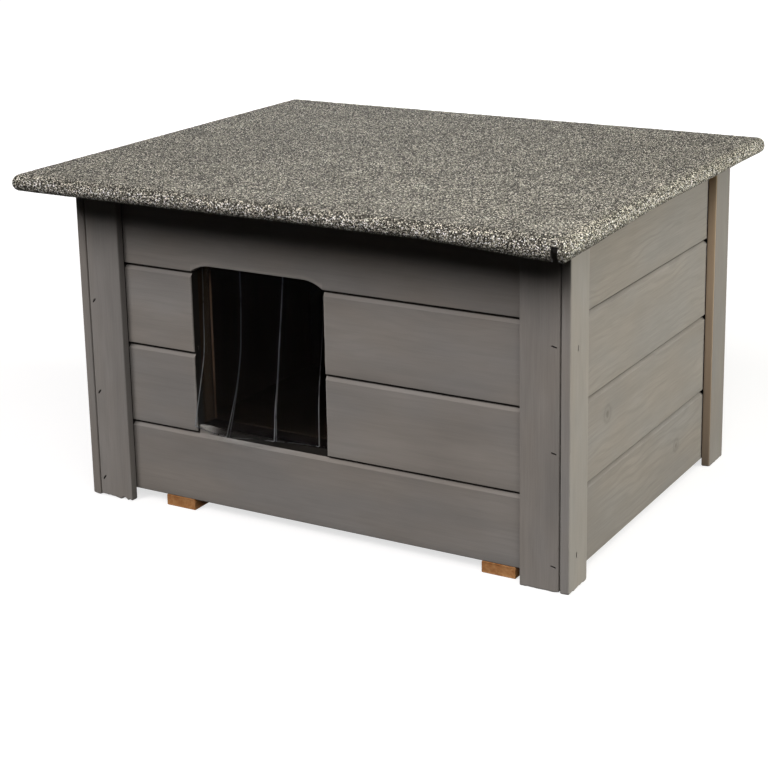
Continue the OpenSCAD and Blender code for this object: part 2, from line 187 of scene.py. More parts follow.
# studio: pale floor, soft light from overhead, large lamps high in front, beside the right wall and behind
studio = {
    "floorSize": 60.0,
    "floorPale": (0.40, 0.40, 0.40, 1),
    "floorBounce": (0.015, 0.015, 0.015, 1),
    # glow of the floor from near the house to far away, so that its shadow stays and the far floor is white
    "floorGlow": (0.8, 3.0, 0.70, 0.97),
    "skyToward": (0.20, -0.05, 0.97),
    "skyGlow": (0.45, 1.0, 0.0, 0.20),
    "skyTint": (1.0, 0.985, 0.965, 1),
    "lamps": {
        "sideLamp": {"place": (3.1, 0.72, 0.80), "aim": (0.28, 0.0, 0.2), "size": 1.1, "power": 99.0,
                     "tint": (1.0, 0.978, 0.880)},
        "frontLamp": {"place": (-1.70, -3.62, 3.42), "aim": (0.0, -0.2, 0.2), "size": 2.4, "power": 176.0,
                      "tint": (1.0, 0.958, 0.958)},
        "topLamp": {"place": (0.5, -0.42, 1.05), "aim": (0.2, -0.15, 0.37), "size": 0.5, "power": 3.6,
                    "tint": (1.0, 0.98, 0.95)},
        "fillLamp": {"place": (2.0, -2.9, 2.75), "aim": (0.0, -0.2, 0.2), "size": 2.2, "power": 60.0,
                     "tint": (1.0, 0.965, 0.950)},
        "backLamp": {"place": (-1.7, 2.7, 1.0), "aim": (0.0, 0.1, 0.2), "size": 1.6, "power": 32.0,
                     "tint": (1.0, 0.985, 0.965)},
    },
}
white = (1, 1, 1, 1)


def bySight(tree, output, lit, seen):
    # seen is for what shows straight, mirrored or through the strips, lit for what lights a surface
    rays = place(tree, "LightPath").outputs
    turned = sumOf(tree, "MAXIMUM", rays["Is Glossy Ray"], rays["Is Transmission Ray"])
    turned = times(tree, turned, sumOf(tree, "LESS_THAN", rays["Diffuse Depth"], 0.5))
    share = sumOf(tree, "MAXIMUM", rays["Is Camera Ray"], turned)
    place(tree, output, {"Surface": valueOf(tree, "MixShader", {0: share, 1: lit, 2: seen})})


def setStudio(values):
    mesh = bpy.data.meshes.new("studioFloor")
    half = values["floorSize"] / 2
    corners = [(-half, -half, 0), (half, -half, 0), (half, half, 0), (-half, half, 0)]
    mesh.from_pydata(corners, [], [(0, 1, 2, 3)])
    floor = addObject("studioFloor", mesh)
    paper = bpy.data.materials.new("studioPaper")
    tree = emptyTree(paper)
    level = spread(tree, measured(tree, "LENGTH", {0: objectPlace(tree)}), *values["floorGlow"])
    glow = valueOf(tree, "Emission", {"Color": white, "Strength": level})
    pale, dim = (valueOf(tree, "BsdfDiffuse", {"Color": values[k]}) for k in ("floorPale", "floorBounce"))
    bySight(tree, "OutputMaterial", dim, valueOf(tree, "AddShader", {0: pale, 1: glow}))
    mesh.materials.append(paper)

    scene.world = bpy.data.worlds.new("studioSky")
    tree = emptyTree(scene.world)
    rays = {0: place(tree, "TexCoord").outputs["Generated"], 1: Vector(values["skyToward"]).normalized()}
    level = spread(tree, measured(tree, "DOT_PRODUCT", rays), *values["skyGlow"])
    soft = valueOf(tree, "Background", {"Color": values["skyTint"], "Strength": level})
    bySight(tree, "OutputWorld", soft, valueOf(tree, "Background", {"Color": white, "Strength": 1.0}))

    for name, lampValues in values["lamps"].items():
        lamp = bpy.data.lights.new(name, "AREA")
        lamp.shape, lamp.size, lamp.energy = "DISK", lampValues["size"], lampValues["power"]
        lamp.color = lampValues["tint"]
        holder = addObject(name, lamp)
        holder.location = lampValues["place"]
        aim = Vector(lampValues["aim"]) - Vector(lampValues["place"])
        holder.rotation_euler = aim.to_track_quat("-Z", "Y").to_euler()
    scene.view_settings.view_transform = "Standard"


setStudio(studio)
print("camera and studio set")


# groups that several finishes or fasteners share
def newGroup(name, inputs, outputs, family="Shader"):
    # an input is given by its first value, or by its kind where it has none
    group = bpy.data.node_groups.new(name, family + "NodeTree")
    for label, start in inputs.items():
        kind = start
        if not isinstance(start, str):
            kind = "Float" if isinstance(start, float) else {3: "Vector", 4: "Color"}[len(start)]
        socket = group.interface.new_socket(name=label, in_out="INPUT", socket_type="NodeSocket" + kind)
        if kind != start:
            socket.default_value = start
    for label, kind in outputs.items():
        group.interface.new_socket(name=label, in_out="OUTPUT", socket_type="NodeSocket" + kind)
    return group, place(group, "NodeGroupInput").outputs, place(group, "NodeGroupOutput")


def makeGrainGroup():
    # the vector runs along the grain in x, in metres
    marks = ("Streak", "Fibre", "Blotch", "Saw", "Figure")
    start = {"Vector": (0, 0, 0), "Spread": 1.0}
    group, given, end = newGroup("woodGrain", start, dict.fromkeys(marks, "Float"))
    across = valueOf(group, "CombineXYZ", {"X": 1.0, "Y": given["Spread"], "Z": given["Spread"]})
    vector = scaled(group, given["Vector"], across)
    turned = valueOf(group, "VectorRotate", {"Vector": vector, "Angle": 0.22}, rotation_type="Z_AXIS")
    rings = {"Vector": scaled(group, vector, (9, 34, 34)), "Scale": 1.0, "Distortion": 14.0, "Detail": 2.0}
    feed(group, end, {
        "Streak": cloudy(group, vector, (3.2, 95, 95), 5, 0.6, 0.8),
        "Fibre": cloudy(group, vector, (26, 1150, 1150), 3, 0.6),
        "Blotch": cloudy(group, vector, (8, 22, 22), 3, 0.5),
        "Saw": cloudy(group, turned, (420, 16, 16), 3, 0.6),
        "Figure": place(group, "TexWave", rings, bands_direction="Z").outputs[1],
    })
    return group


knotWarp = 6.0 * mm


def makeKnotGroup():
    # dark eye with rings round it, at one place on a board
    start = {"Vector": (0, 0, 0), "Centre": (0, 0, 0), "Size": 0.01}
    group, given, end = newGroup("boardKnot", start, {"Mask": "Float"})
    field = {"Vector": given["Vector"], "Scale": 90.0, "Detail": 2.0}
    warp = place(group, "TexNoise", field).outputs["Color"]
    pushed = valueOf(group, "VectorMath", {0: warp, 1: (knotWarp,) * 3, 2: given["Vector"]},
                     operation="MULTIPLY_ADD")
    away = measured(group, "DISTANCE", {0: pushed, 1: given["Centre"]})
    share = sumOf(group, "DIVIDE", away, given["Size"])
    rings = sumOf(group, "SINE", times(group, share, 10.0))
    fade = spread(group, share, 0.15, 1.25, 1.0, 0.0)
    feed(group, end, {"Mask": times(group, fade, spread(group, rings, -1.0, 1.0, 0.25, 1.0))})
    return group


grainGroup = makeGrainGroup()
knotGroup = makeKnotGroup()


def makePaintGroup():
    # brushed paint over pine: streaks, sanded edges and thin places
    start = {"Vector": (0, 0, 0), "Light": (0.3, 0.3, 0.3, 1), "Dark": (0.1, 0.1, 0.1, 1),
             "Timber": (0.2, 0.1, 0.05, 1), "Tone": 0.5, "Worn": 0.0, "Bare": 0.0, "Lines": 0.5,
             "Figure": 0.05, "Darkening": 0.0}
    outputs = {"Color": "Color", "Roughness": "Float", "Height": "Float"}
    group, given, end = newGroup("brushedPaint", start, outputs)
    grain = place(group, "Group", {"Vector": given["Vector"], "Spread": 1.0}, node_tree=grainGroup).outputs
    streak, fibre, blotch = grain["Streak"], grain["Fibre"], grain["Blotch"]
    mixed = plus(group, times(group, streak, 0.3), times(group, blotch, 0.7))
    share = plus(group, spread(group, mixed, 0.3, 0.7), sumOf(group, "SUBTRACT", given["Tone"], 0.5))
    paint = blendOf(group, share, given["Dark"], given["Light"])
    lines = times(group, spread(group, fibre, 0.35, 0.62, -0.13, 0.05), given["Lines"])
    paint = shadeBy(group, paint, plus(group, lines, 1.0))
    rings = times(group, spread(group, grain["Figure"], 0.05, 0.5, -1.0, 0.0), given["Figure"])
    rings = times(group, rings, spread(group, blotch, 0.46, 0.62))
    paint = shadeBy(group, paint, plus(group, rings, 1.0))
    # slow warm and cool places
    cast = spread(group, cloudy(group, given["Vector"], (7, 17, 17), 2), 0.36, 0.64)
    paint = shadeBy(group, paint, blendOf(group, cast, (1.016, 0.996, 0.975, 1), (0.984, 1.0, 1.022, 1)))
    # bare timber, rubbed edges, and darkening: painted shade in the wall boards' joints and doorway, darker
    # feet on some corner boards
    thin = times(group, given["Bare"], spread(group, streak, 0.2, 0.6, 0.6, 1.0))
    paint = blendOf(group, thin, paint, given["Timber"])
    rub = times(group, given["Worn"], spread(group, fibre, 0.3, 0.6, 0.35, 1.0))
    paint = blendOf(group, rub, paint, (0.42, 0.395, 0.36, 1))
    paint = blendOf(group, given["Darkening"], paint, (0.008, 0.007, 0.006, 1))
    fine = times(group, times(group, fibre, 0.8), given["Lines"])
    relief = plus(group, fine, times(group, streak, 0.5))
    relief = plus(group, relief, times(group, grain["Saw"], 0.22))
    rough = spread(group, blotch, 0.3, 0.7, 0.5, 0.72)
    feed(group, end, {"Color": paint, "Roughness": rough, "Height": relief})
    return group


paintGroup = makePaintGroup()


# finishes
def newFinish(name):
    finish = bpy.data.materials.new(name)
    tree = emptyTree(finish)
    shader = place(tree, "BsdfPrincipled")
    place(tree, "OutputMaterial", {"Surface": shader.outputs[0]})
    return finish, tree, shader, objectPlace(tree)


def dress(tree, shader, colour, rough, height, relief, shine=0.5):
    normal = valueOf(tree, "Bump", {"Height": height, "Distance": relief, "Strength": 1.0})
    inputs = {"Base Color": colour, "Roughness": rough, "Normal": normal, "Specular IOR Level": shine}
    feed(tree, shader, inputs)


def mark(tree, name, kind="Fac"):
    return place(tree, "Attribute", attribute_name=name).outputs[kind]


def dimmed(tint, share):
    return tuple(share * c for c in tint[:3]) + (1,)


grainTurns = {"x": (0, 0, 0), "y": (0, 0, -math.pi / 2), "z": (0, math.pi / 2, 0)}


def grainVector(tree, coords, along):
    # turns object coordinates so that x runs along the grain, and moves them by the piece's own shift
    turned = valueOf(tree, "Mapping", {"Vector": coords, "Rotation": grainTurns[along]})
    return valueOf(tree, "VectorMath", {0: turned, 1: mark(tree, "shift", "Vector")}, operation="ADD")


greyPaint = {
    "light": (0.262, 0.247, 0.228, 1),
    "dark": (0.196, 0.184, 0.170, 1),
    "timber": (0.50, 0.375, 0.255, 1),
    "lines": {"x": 0.30, "y": 0.62, "z": 0.45},
    "figure": {"x": 0.03, "y": 0.085, "z": 0.03},
    "shine": 0.02,
    "relief": 0.00014,
    "knots": [
        ((0.279, -0.086, 0.148), 0.011), ((0.279, 0.104, 0.052), 0.009),
        ((-0.279, 0.060, 0.215), 0.011), ((-0.279, -0.070, 0.048), 0.009),
        ((-0.120, 0.2165, 0.140), 0.010), ((0.150, 0.2165, 0.300), 0.009),
    ],
    "knotTint": (0.105, 0.096, 0.085, 1),
    "knotShare": 0.60,
    "knotDepth": 0.6,
}


def makePaint(along, values):
    finish, tree, shader, coords = newFinish("greyPaint" + along.upper())
    inputs = {key.capitalize(): values[key] for key in ("light", "dark", "timber")}
    inputs.update({key.capitalize(): mark(tree, key) for key in ("tone", "worn", "bare", "darkening")})
    inputs.update({key.capitalize(): values[key][along] for key in ("lines", "figure")})
    inputs["Vector"] = grainVector(tree, coords, along)
    coat = place(tree, "Group", inputs, node_tree=paintGroup).outputs
    colour, height = coat["Color"], coat["Height"]
    for centre, size in values["knots"] if along != "z" else ():
        # the warp moves a knot by half its strength on average
        inputs = {"Vector": coords, "Centre": Vector(centre) + Vector((knotWarp / 2,) * 3), "Size": size}
        mask = valueOf(tree, "Group", inputs, node_tree=knotGroup)
        colour = blendOf(tree, times(tree, mask, values["knotShare"]), colour, values["knotTint"])
        height = sumOf(tree, "SUBTRACT", height, times(tree, mask, values["knotDepth"]))
    dress(tree, shader, colour, coat["Roughness"], height, values["relief"], values["shine"])
    return finish


def grained(tree, vector, wide, tints, bands, lines):
    # colour from the bands and fine lines of the grain
    grain = place(tree, "Group", {"Vector": vector, "Spread": wide}, node_tree=grainGroup).outputs
    colour = blendOf(tree, spread(tree, grain["Streak"], *bands), *tints)
    return grain, shadeBy(tree, colour, spread(tree, grain["Fibre"], *lines))


def makePine(name, along, values):
    finish, tree, shader, coords = newFinish(name)
    tints = values["late"], values["early"]
    vector = grainVector(tree, coords, along)
    grain, colour = grained(tree, vector, 1.6, tints, (0.34, 0.66), (0.3, 0.65, 0.72, 1.08))
    stain = times(tree, spread(tree, grain["Blotch"], 0.45, 0.75), 0.45)
    colour = blendOf(tree, stain, colour, dimmed(values["late"], 0.7))
    if "tarred" in values:
        # bitumen from the felt on the outer edges
        parted = place(tree, "SeparateXYZ", {0: coords}).outputs
        inside = times(tree, *(near(tree, parted[n], 0.0, values["tarred"][n]) for n in (0, 1)))
        colour = blendOf(tree, inside, (0.012, 0.011, 0.010, 1), colour)
    rough = spread(tree, grain["Blotch"], 0.3, 0.7, 0.62, 0.85)
    height = plus(tree, grain["Fibre"], times(tree, grain["Streak"], 0.7))
    dress(tree, shader, colour, rough, height, values["relief"], values["shine"])
    return finish


rawPine = {"early": (0.56, 0.30, 0.125, 1), "late": (0.36, 0.150, 0.050, 1), "shine": 0.15, "relief": 0.0004}
# doorway frame: near black as painted shade in the doorway
frameTimberPaintedShade = {"early": (0.055, 0.036, 0.022, 1), "late": (0.026, 0.016, 0.010, 1), "shine": 0.05,
               "relief": 0.0004}
deckTimber = {"early": (0.50, 0.335, 0.175, 1), "late": (0.345, 0.195, 0.085, 1), "shine": 0.15,
              "relief": 0.0003}
# sill: near black as painted shade behind the strips
sillTimberPaintedShade = {"early": (0.007, 0.005, 0.004, 1), "late": (0.004, 0.003, 0.003, 1), "shine": 0.02,
              "relief": 0.0003}
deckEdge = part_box("roof_boards")[1]
tarWidth = 3.2 * mm
tarredDeck = {**deckTimber, "tarred": (deckEdge.x - tarWidth, deckEdge.y - tarWidth)}
paintX, paintY, paintZ = (makePaint(axis, greyPaint) for axis in "xyz")
pineY = makePine("rawPineY", "y", rawPine)
frameShadeX, frameShadeZ = (makePine("framePinePaintedShade" + axis.upper(), axis, frameTimberPaintedShade) for axis in "xz")
deckX = makePine("deckPine", "x", tarredDeck)
postZ = makePine("postPine", "z", deckTimber)
sillShadeX = makePine("sillPinePaintedShade", "x", sillTimberPaintedShade)

# lining inside the house, near black as painted shade, with a raw edge at the doorway that is partly a
# painted highlight
liningPaintedShade = {
    "pale": (0.036, 0.025, 0.018, 1),
    "deep": (0.022, 0.015, 0.010, 1),
    "rawEdgeAndHighlight": (0.20, 0.125, 0.082, 1),
    # the raw edge, partly its own colour and partly a painted highlight, fades into the stain at its upper
    # and its lower end
    "rawEdgeHighlightFades": ((0.246, 0.264, 1.0, 0.0), (0.126, 0.150, 0.35, 1.0)),
    "rawEdgeHighlightReach": 0.4 * mm,
    "relief": 0.0001,
    "shine": 0.04,
}


def makeLining(name, values, rawEdgeHighlightAt=()):
    finish, tree, shader, coords = newFinish(name)
    tints = values["deep"], values["pale"]
    vector = grainVector(tree, coords, "z")
    grain, colour = grained(tree, vector, 0.6, tints, (0.3, 0.7), (0.3, 0.7, 0.8, 1.08))
    # raw edges at the doorway: partly their own colour, partly a painted highlight
    for x in rawEdgeHighlightAt:
        parted = place(tree, "SeparateXYZ", {0: coords}).outputs
        clear = times(tree, *(spread(tree, parted[2], *fade) for fade in values["rawEdgeHighlightFades"]))
        raw = times(tree, near(tree, parted[0], x, values["rawEdgeHighlightReach"]), clear)
        colour = blendOf(tree, raw, colour, values["rawEdgeAndHighlight"])
    rough = spread(tree, grain["Blotch"], 0.3, 0.7, 0.6, 0.8)
    dress(tree, shader, colour, rough, grain["Fibre"], values["relief"], values["shine"])
    return finish


foamBoard = {"bead": 260.0, "white": (0.80, 0.80, 0.79, 1), "seam": (0.60, 0.60, 0.60, 1), "relief": 0.0005}


def makeFoam(values):
    finish, tree, shader, coords = newFinish("beadFoam")
    cells = {"Vector": coords, "Scale": values["bead"]}
    edge = spread(tree, valueOf(tree, "TexVoronoi", cells, feature="DISTANCE_TO_EDGE"), 0.0, 0.16)
    colour = blendOf(tree, edge, values["seam"], values["white"])
    dress(tree, shader, colour, spread(tree, edge, 0.0, 1.0, 0.85, 0.65), edge, values["relief"])
    return finish


liningShadeFinish = makeLining("liningPaintedShade", liningPaintedShade)
doorLeft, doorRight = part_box("front_board_2_left")[1].x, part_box("front_board_2_right")[0].x
doorLiningShadeFinish = makeLining("doorLiningShade", liningPaintedShade, (doorLeft, doorRight))
foamFinish = makeFoam(foamBoard)

steelFinishes = {
    "zincSteel": {"tint": (0.56, 0.57, 0.58, 1), "shade": (0.40, 0.41, 0.43, 1), "rough": (0.28, 0.5)},
    # staples sunk in their pits, darkened as painted shade
    "stapleSteelPaintedShade": {"tint": (0.020, 0.019, 0.018, 1), "shade": (0.011, 0.010, 0.009, 1), "rough": (0.45, 0.7)},
    # nail heads under the eave, darkened as painted shade
    "nailSteelPaintedShade": {"tint": (0.085, 0.083, 0.080, 1), "shade": (0.045, 0.043, 0.041, 1), "rough": (0.7, 0.85)},
}
steelRelief = 0.00003


def makeSteel(name, values):
    finish, tree, shader, coords = newFinish(name)
    cloud = cloudy(tree, coords, (420, 420, 420), 4, 0.5)
    scratch = cloudy(tree, coords, (90, 1600, 1600), 2)
    colour = blendOf(tree, spread(tree, cloud, 0.35, 0.65), values["shade"], values["tint"])
    dress(tree, shader, colour, spread(tree, cloud, 0.3, 0.7, *values["rough"]), scratch, steelRelief)
    feed(tree, shader, {"Metallic": 1.0})
    return finish


zincFinish, stapleShadeFinish, nailShadeFinish = (makeSteel(name, values) for name, values in steelFinishes.items())

mineralFelt = {
    "cell": 1080.0,
    "stones": [
        (0.0, (0.009, 0.0086, 0.0074)), (0.33, (0.025, 0.0238, 0.0204)), (0.57, (0.084, 0.0801, 0.0681)),
        (0.75, (0.207, 0.198, 0.169)), (0.87, (0.495, 0.472, 0.404)), (0.95, (0.93, 0.887, 0.767)),
    ],
    # painted highlight on the roll of the edge and painted shade at its foot: the grit is made paler and
    # darker there, each from one height to the next
    "roll": (0.3645, 0.3697, 1.55, 1.0),
    "foot": (0.3500, 0.3580, 0.55, 1.0),
    "relief": 0.00042,
    "shine": 0.06,
}
bitumen = {"tint": (0.014, 0.013, 0.012, 1), "dust": (0.035, 0.033, 0.030, 1), "relief": 0.0003, "shine": 0.2}


def makeFeltFinish(values):
    finish, tree, shader, coords = newFinish("mineralFelt")
    cells = place(tree, "TexVoronoi", {"Vector": coords, "Scale": values["cell"]}, feature="F1").outputs
    pick = place(tree, "SeparateColor", {0: cells["Color"]}).outputs
    ramp = place(tree, "ValToRGB", {0: pick[0]})
    marks = ramp.color_ramp.elements
    while len(marks) < len(values["stones"]):
        marks.new(0.5)
    for stone, (at, tint) in zip(marks, values["stones"]):
        stone.position, stone.color = at, (*tint, 1)
    patch = cloudy(tree, coords, (26, 26, 26), 4)
    colour = shadeBy(tree, ramp.outputs[0], spread(tree, patch, 0.3, 0.7, 0.82, 1.14))
    yellow = shadeBy(tree, colour, (1.0, 1.0, 0.80, 1))
    colour = blendOf(tree, spread(tree, pick[1], 0.55, 1.0, 0.0, 0.35), colour, yellow)
    height = place(tree, "SeparateXYZ", {0: coords}).outputs["Z"]
    # painted highlight on the roll and painted shade at the foot of the edge
    for part in ("roll", "foot"):
        colour = shadeBy(tree, colour, spread(tree, height, *values[part]))
        colour.node.clamp_result = True
    dome = spread(tree, cells["Distance"], 0.1, 0.62, 1.0, 0.0)
    height = plus(tree, dome, times(tree, pick[2], 0.6))
    rough = spread(tree, pick[1], 0.0, 1.0, 0.55, 0.9)
    dress(tree, shader, colour, rough, height, values["relief"], values["shine"])
    return finish


def makeBitumen(values):
    finish, tree, shader, coords = newFinish("feltBitumen")
    speck = cloudy(tree, coords, (700, 700, 700), 3, 0.5)
    colour = blendOf(tree, spread(tree, speck, 0.45, 0.75), values["tint"], values["dust"])
    rough = spread(tree, speck, 0.3, 0.7, 0.5, 0.8)
    dress(tree, shader, colour, rough, speck, values["relief"], values["shine"])
    return finish


feltFinish = makeFeltFinish(mineralFelt)
bitumenFinish = makeBitumen(bitumen)

clearSheet = {"tint": (0.93, 0.95, 0.96, 1), "bend": 1.05, "rough": (0.03, 0.16), "relief": 0.0006,
              "shade": (0.45, 0.46, 0.47, 1)}
# edges of the strips: dull, or bright as a painted highlight where their glint says
clearEdge = {"tint": (0.60, 0.62, 0.645, 1), "dull": (0.016, 0.016, 0.017, 1), "bend": 1.45}


def makeClear(values):
    finish, tree, shader, coords = newFinish("clearStrip")
    haze = cloudy(tree, coords, (60, 60, 60), 5, 0.5)
    ripple = cloudy(tree, coords, (30, 30, 9), 2)
    rough = spread(tree, haze, 0.4, 0.75, *values["rough"])
    dress(tree, shader, values["tint"], rough, ripple, values["relief"])
    feed(tree, shader, {"IOR": values["bend"], "Transmission Weight": 1.0})
    inputs = {0: place(tree, "LightPath").outputs["Is Shadow Ray"], 1: shader.outputs[0],
              2: valueOf(tree, "BsdfTransparent", {"Color": values["shade"]})}
    feed(tree, tree.nodes["Material Output"], {"Surface": valueOf(tree, "MixShader", inputs)})
    return finish


def makeClearEdge(values):
    finish, tree, shader, coords = newFinish("clearStripEdge")
    along = cloudy(tree, coords, (60, 60, 55), 4)
    glint = blendOf(tree, spread(tree, along, 0.32, 0.66), dimmed(values["tint"], 0.55), values["tint"])
    # painted highlight: the edge goes from dull to bright by its glint
    colour = blendOf(tree, mark(tree, "glint"), values["dull"], glint)
    rough = spread(tree, along, 0.3, 0.7, 0.2, 0.45)
    feed(tree, shader, {"Base Color": colour, "Roughness": rough, "IOR": values["bend"]})
    return finish


clearFinish = makeClear(clearSheet)
clearEdgeFinish = makeClearEdge(clearEdge)
print("finishes made")

# mesh helpers
sharpAngle = 32.0


def smoothEdges(bm, sharp):
    for edge in bm.edges:
        edge.smooth = len(edge.link_faces) == 2 and edge.calc_face_angle(math.pi) < math.radians(sharp)


def toObject(bm, name, finishes, sharp=sharpAngle):
    bmesh.ops.recalc_face_normals(bm, faces=bm.faces)
    for face in bm.faces:
        face.smooth = True
    smoothEdges(bm, sharp)
    mesh = bpy.data.meshes.new(name)
    bm.to_mesh(mesh)
    bm.free()
    for finish in finishes:
        mesh.materials.append(finish)
    return addObject(name, mesh)


def applied(piece, modifier):
    bpy.context.view_layer.update()
    made = bpy.data.meshes.new_from_object(piece.evaluated_get(bpy.context.evaluated_depsgraph_get()))
    piece.modifiers.remove(modifier)
    piece.data = made
    return made


def setMark(mesh, label, values, kind="FLOAT"):
    field = "value" if kind == "FLOAT" else "vector"
    mesh.attributes.new(label, kind, "POINT").data.foreach_set(field, np.array(values, np.float32))


def markPiece(piece, seed, worn=None, bare=None, darkening=None, level=None):
    # tone and pattern shift belong to the piece; darkening (painted shade on the wall boards, darker feet on
    # some corner boards), wear and thin paint to its points
    mesh = piece.data
    points = [v.co.copy() for v in mesh.vertices]
    rng = np.random.default_rng(seed)
    tone = 0.5 + rng.uniform(-0.16, 0.16)
    setMark(mesh, "tone", [tone if level is None else level] * len(points))
    setMark(mesh, "shift", np.tile(rng.uniform(-3, 3, 3), len(points)), "FLOAT_VECTOR")
    setMark(mesh, "darkening", darkening or [0.0] * len(points))
    for label, rule in (("worn", worn), ("bare", bare)):
        setMark(mesh, label, [rule(p) if rule else 0.0 for p in points])


def putOn(piece, body, slotName, *nodes):
    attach(piece, body)
    if nodes:
        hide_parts(*nodes)


def wobble(*at):
    return noise.noise(Vector(at))


def share01(value):
    return max(0.0, min(1.0, value))


def linesEvery(low, high, step):
    count = max(2, round((high - low) / step))
    return [low + (high - low) * k / count for k in range(count + 1)]


def fillet(corners, radii, steps=3):
    # polygon with rounded corners
    made = []
    for k, radius in enumerate(radii):
        here = Vector(corners[k])
        if radius <= 0:
            made.append(tuple(here))
            continue
        back = (Vector(corners[k - 1]) - here).normalized()
        on = (Vector(corners[(k + 1) % len(corners)]) - here).normalized()
        angle = back.angle(on)
        reach = radius / math.tan(angle / 2)
        centre = here + (back + on).normalized() * (radius / math.sin(angle / 2))
        start, stop = here + back * reach - centre, here + on * reach - centre
        made += [tuple(centre + start.lerp(stop, s / steps).normalized() * radius) for s in range(steps + 1)]
    return made


def loft(bm, rings):
    loops = [[bm.verts.new(p) for p in ring] for ring in rings]
    count = len(loops[0])
    for a, b in zip(loops, loops[1:]):
        for k in range(count):
            bm.faces.new((a[k], a[(k + 1) % count], b[(k + 1) % count], b[k]))
    bm.faces.new(loops[0][::-1])
    bm.faces.new(loops[-1])


def roundedBlock(bm, low, high, radius, lines, shape):
    # a box with rounded edges on a grid of lines, one list per axis, moved by shape
    reach = [min(radius, (high[n] - low[n]) / 2.2) for n in range(3)]
    grids, corners = [], {}
    for a, b, r, inside in zip(low, high, reach, lines):
        inner = [v for v in inside if a + r < v < b - r]
        grids.append(sorted({a, a + 0.29 * r, a + r, *inner, b - r, b - 0.29 * r, b}))

    def corner(key):
        if key not in corners:
            point = Vector([grids[n][key[n]] for n in range(3)])
            core = Vector([min(max(point[n], low[n] + reach[n]), high[n] - reach[n]) for n in range(3)])
            out = point - core
            if out.length > 1e-9:
                point = core + out.normalized() * max(abs(c) for c in out)
            corners[key] = bm.verts.new(shape(point))
        return corners[key]

    sizes = [len(g) - 1 for g in grids]
    for axis in range(3):
        u, v = (axis + 1) % 3, (axis + 2) % 3
        for end in (0, sizes[axis]):
            for i, j in np.ndindex(sizes[u], sizes[v]):
                quad = []
                for du, dv in ((0, 0), (1, 0), (1, 1), (0, 1)):
                    key = [0, 0, 0]
                    key[axis], key[u], key[v] = end, i + du, j + dv
                    quad.append(corner(tuple(key)))
                bm.faces.new(quad if end else quad[::-1])


def islands(name):
    # points of each loose solid in a CAD node
    bm = bmesh.new()
    bm.from_mesh(cadNodes[name].data)
    bmesh.ops.remove_doubles(bm, verts=bm.verts, dist=1e-6)
    seen, found = set(), []
    for start in bm.verts:
        if start in seen:
            continue
        seen.add(start)
        stack, members = [start], []
        while stack:
            vert = stack.pop()
            members.append(vert.co.copy())
            for edge in vert.link_edges:
                other = edge.other_vert(vert)
                if other not in seen:
                    seen.add(other)
                    stack.append(other)
        found.append(members)
    bm.free()
    return found


def islandBoxes(name):
    return [[Vector([pick(p[n] for p in members) for n in range(3)]) for pick in (min, max)]
            for members in islands(name)]


# walls: the axis that each one faces along, and which way is inwards
wallSides = {"front": (1, 1), "back": (1, -1), "left": (0, 1), "right": (0, -1)}
wallEnds = {"front": ("left", "right"), "back": ("left", "right"), "left": ("front", "back"),
            "right": ("front", "back")}
wallFace = {wall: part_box(wall + "_board_1")[0 if inward > 0 else 1][axis]
            for wall, (axis, inward) in wallSides.items()}

wallBoards = {
    "thick": 12.5 * mm,
    "lift": 0.5 * mm,
    "drop": 2.2 * mm,
    "chamfer": (4.0 * mm, 3.4 * mm),
    # depth in the board, thickness, height and play in the groove
    "tongue": (4.25 * mm, 4.0 * mm, 5.0 * mm, 0.4 * mm),
    "faceStep": 7.0 * mm,
    "lengthStep": 45.0 * mm,
    "cup": 0.30 * mm,
    # painted shade: how dark the joints of each wall, the sawn ends in the doorway, the sill and the board
    # parts behind the corner boards are painted
    "darkening": {"front": 0.85, "back": 0.4, "left": 0.4, "right": 0.5, "cut": 0.94, "sill": 0.97,
              "covered": 0.95},
    "level": {"right_board_1": 0.22},
    # sawn ends at the doorway: their arris, how far they wander, and the lines near them
    "cutRound": 2.2 * mm,
    "cutWobble": 0.55 * mm,
    "cutReach": 11.0 * mm,
    "cutLines": (0.0, 0.15, 0.4, 0.8, 1.3, 2.2, 3.6, 6.0, 10.0),
    "doorStep": 2.4 * mm,
    "doorPlay": 0.02 * mm,
    "archRun": 24.0 * mm,
    "archRise": 8.0 * mm,
    "archRound": 1.4 * mm,
    # height over which the face follows the arch, less the rise that its own edge takes up
    "archBlend": (14.0 * mm, 2.7 * mm),
    # depth and height that bound the lower front edge, the groove behind it and the lip at the top
    "lowEdge": (1.0 * mm, 2.2 * mm),
    "grooveZone": (3.0 * mm, 7.0 * mm),
    "lipZone": (3.2 * mm, 4.6 * mm),
    # sawn tongue in the doorway: a stub at the left end, a ragged top and a nick in the lip
    "stub": (1.5 * mm, 26.0 * mm, 14.0 * mm),
    "ragged": 0.35 * mm,
    "stubFrom": 2.0 * mm,
    "nick": (-100.0 * mm, 3.2 * mm, 0.9 * mm),
    "nickDrop": 0.4,
    # painted shade: its least depth and play in height at the top and foot of a board, then on the sill and
    # cut ends
    "topJoint": (3.85 * mm, 0.3 * mm),
    "footJoint": (1.5 * mm, 0.1 * mm),
    "sillDepth": 4.2 * mm,
    "sillFade": (10.0 * mm, 16.0 * mm),
    "cutDepth": 2.1 * mm,
    "cleanTop": 5.0 * mm,
    # worn paint: how much, and how far it reaches
    "wear": {"end": 0.6, "arch": 0.5, "tongue": 0.18, "lip": 0.10},
    "wearReach": {"end": 2.6 * mm, "arch": 1.6 * mm, "tongue": 1.0 * mm, "lip": 4.0 * mm},
}


def onWall(wall, along, deep, high):
    axis, inward = wallSides[wall]
    out = wallFace[wall] + inward * deep
    return (along, out, high) if axis == 1 else (out, along, high)


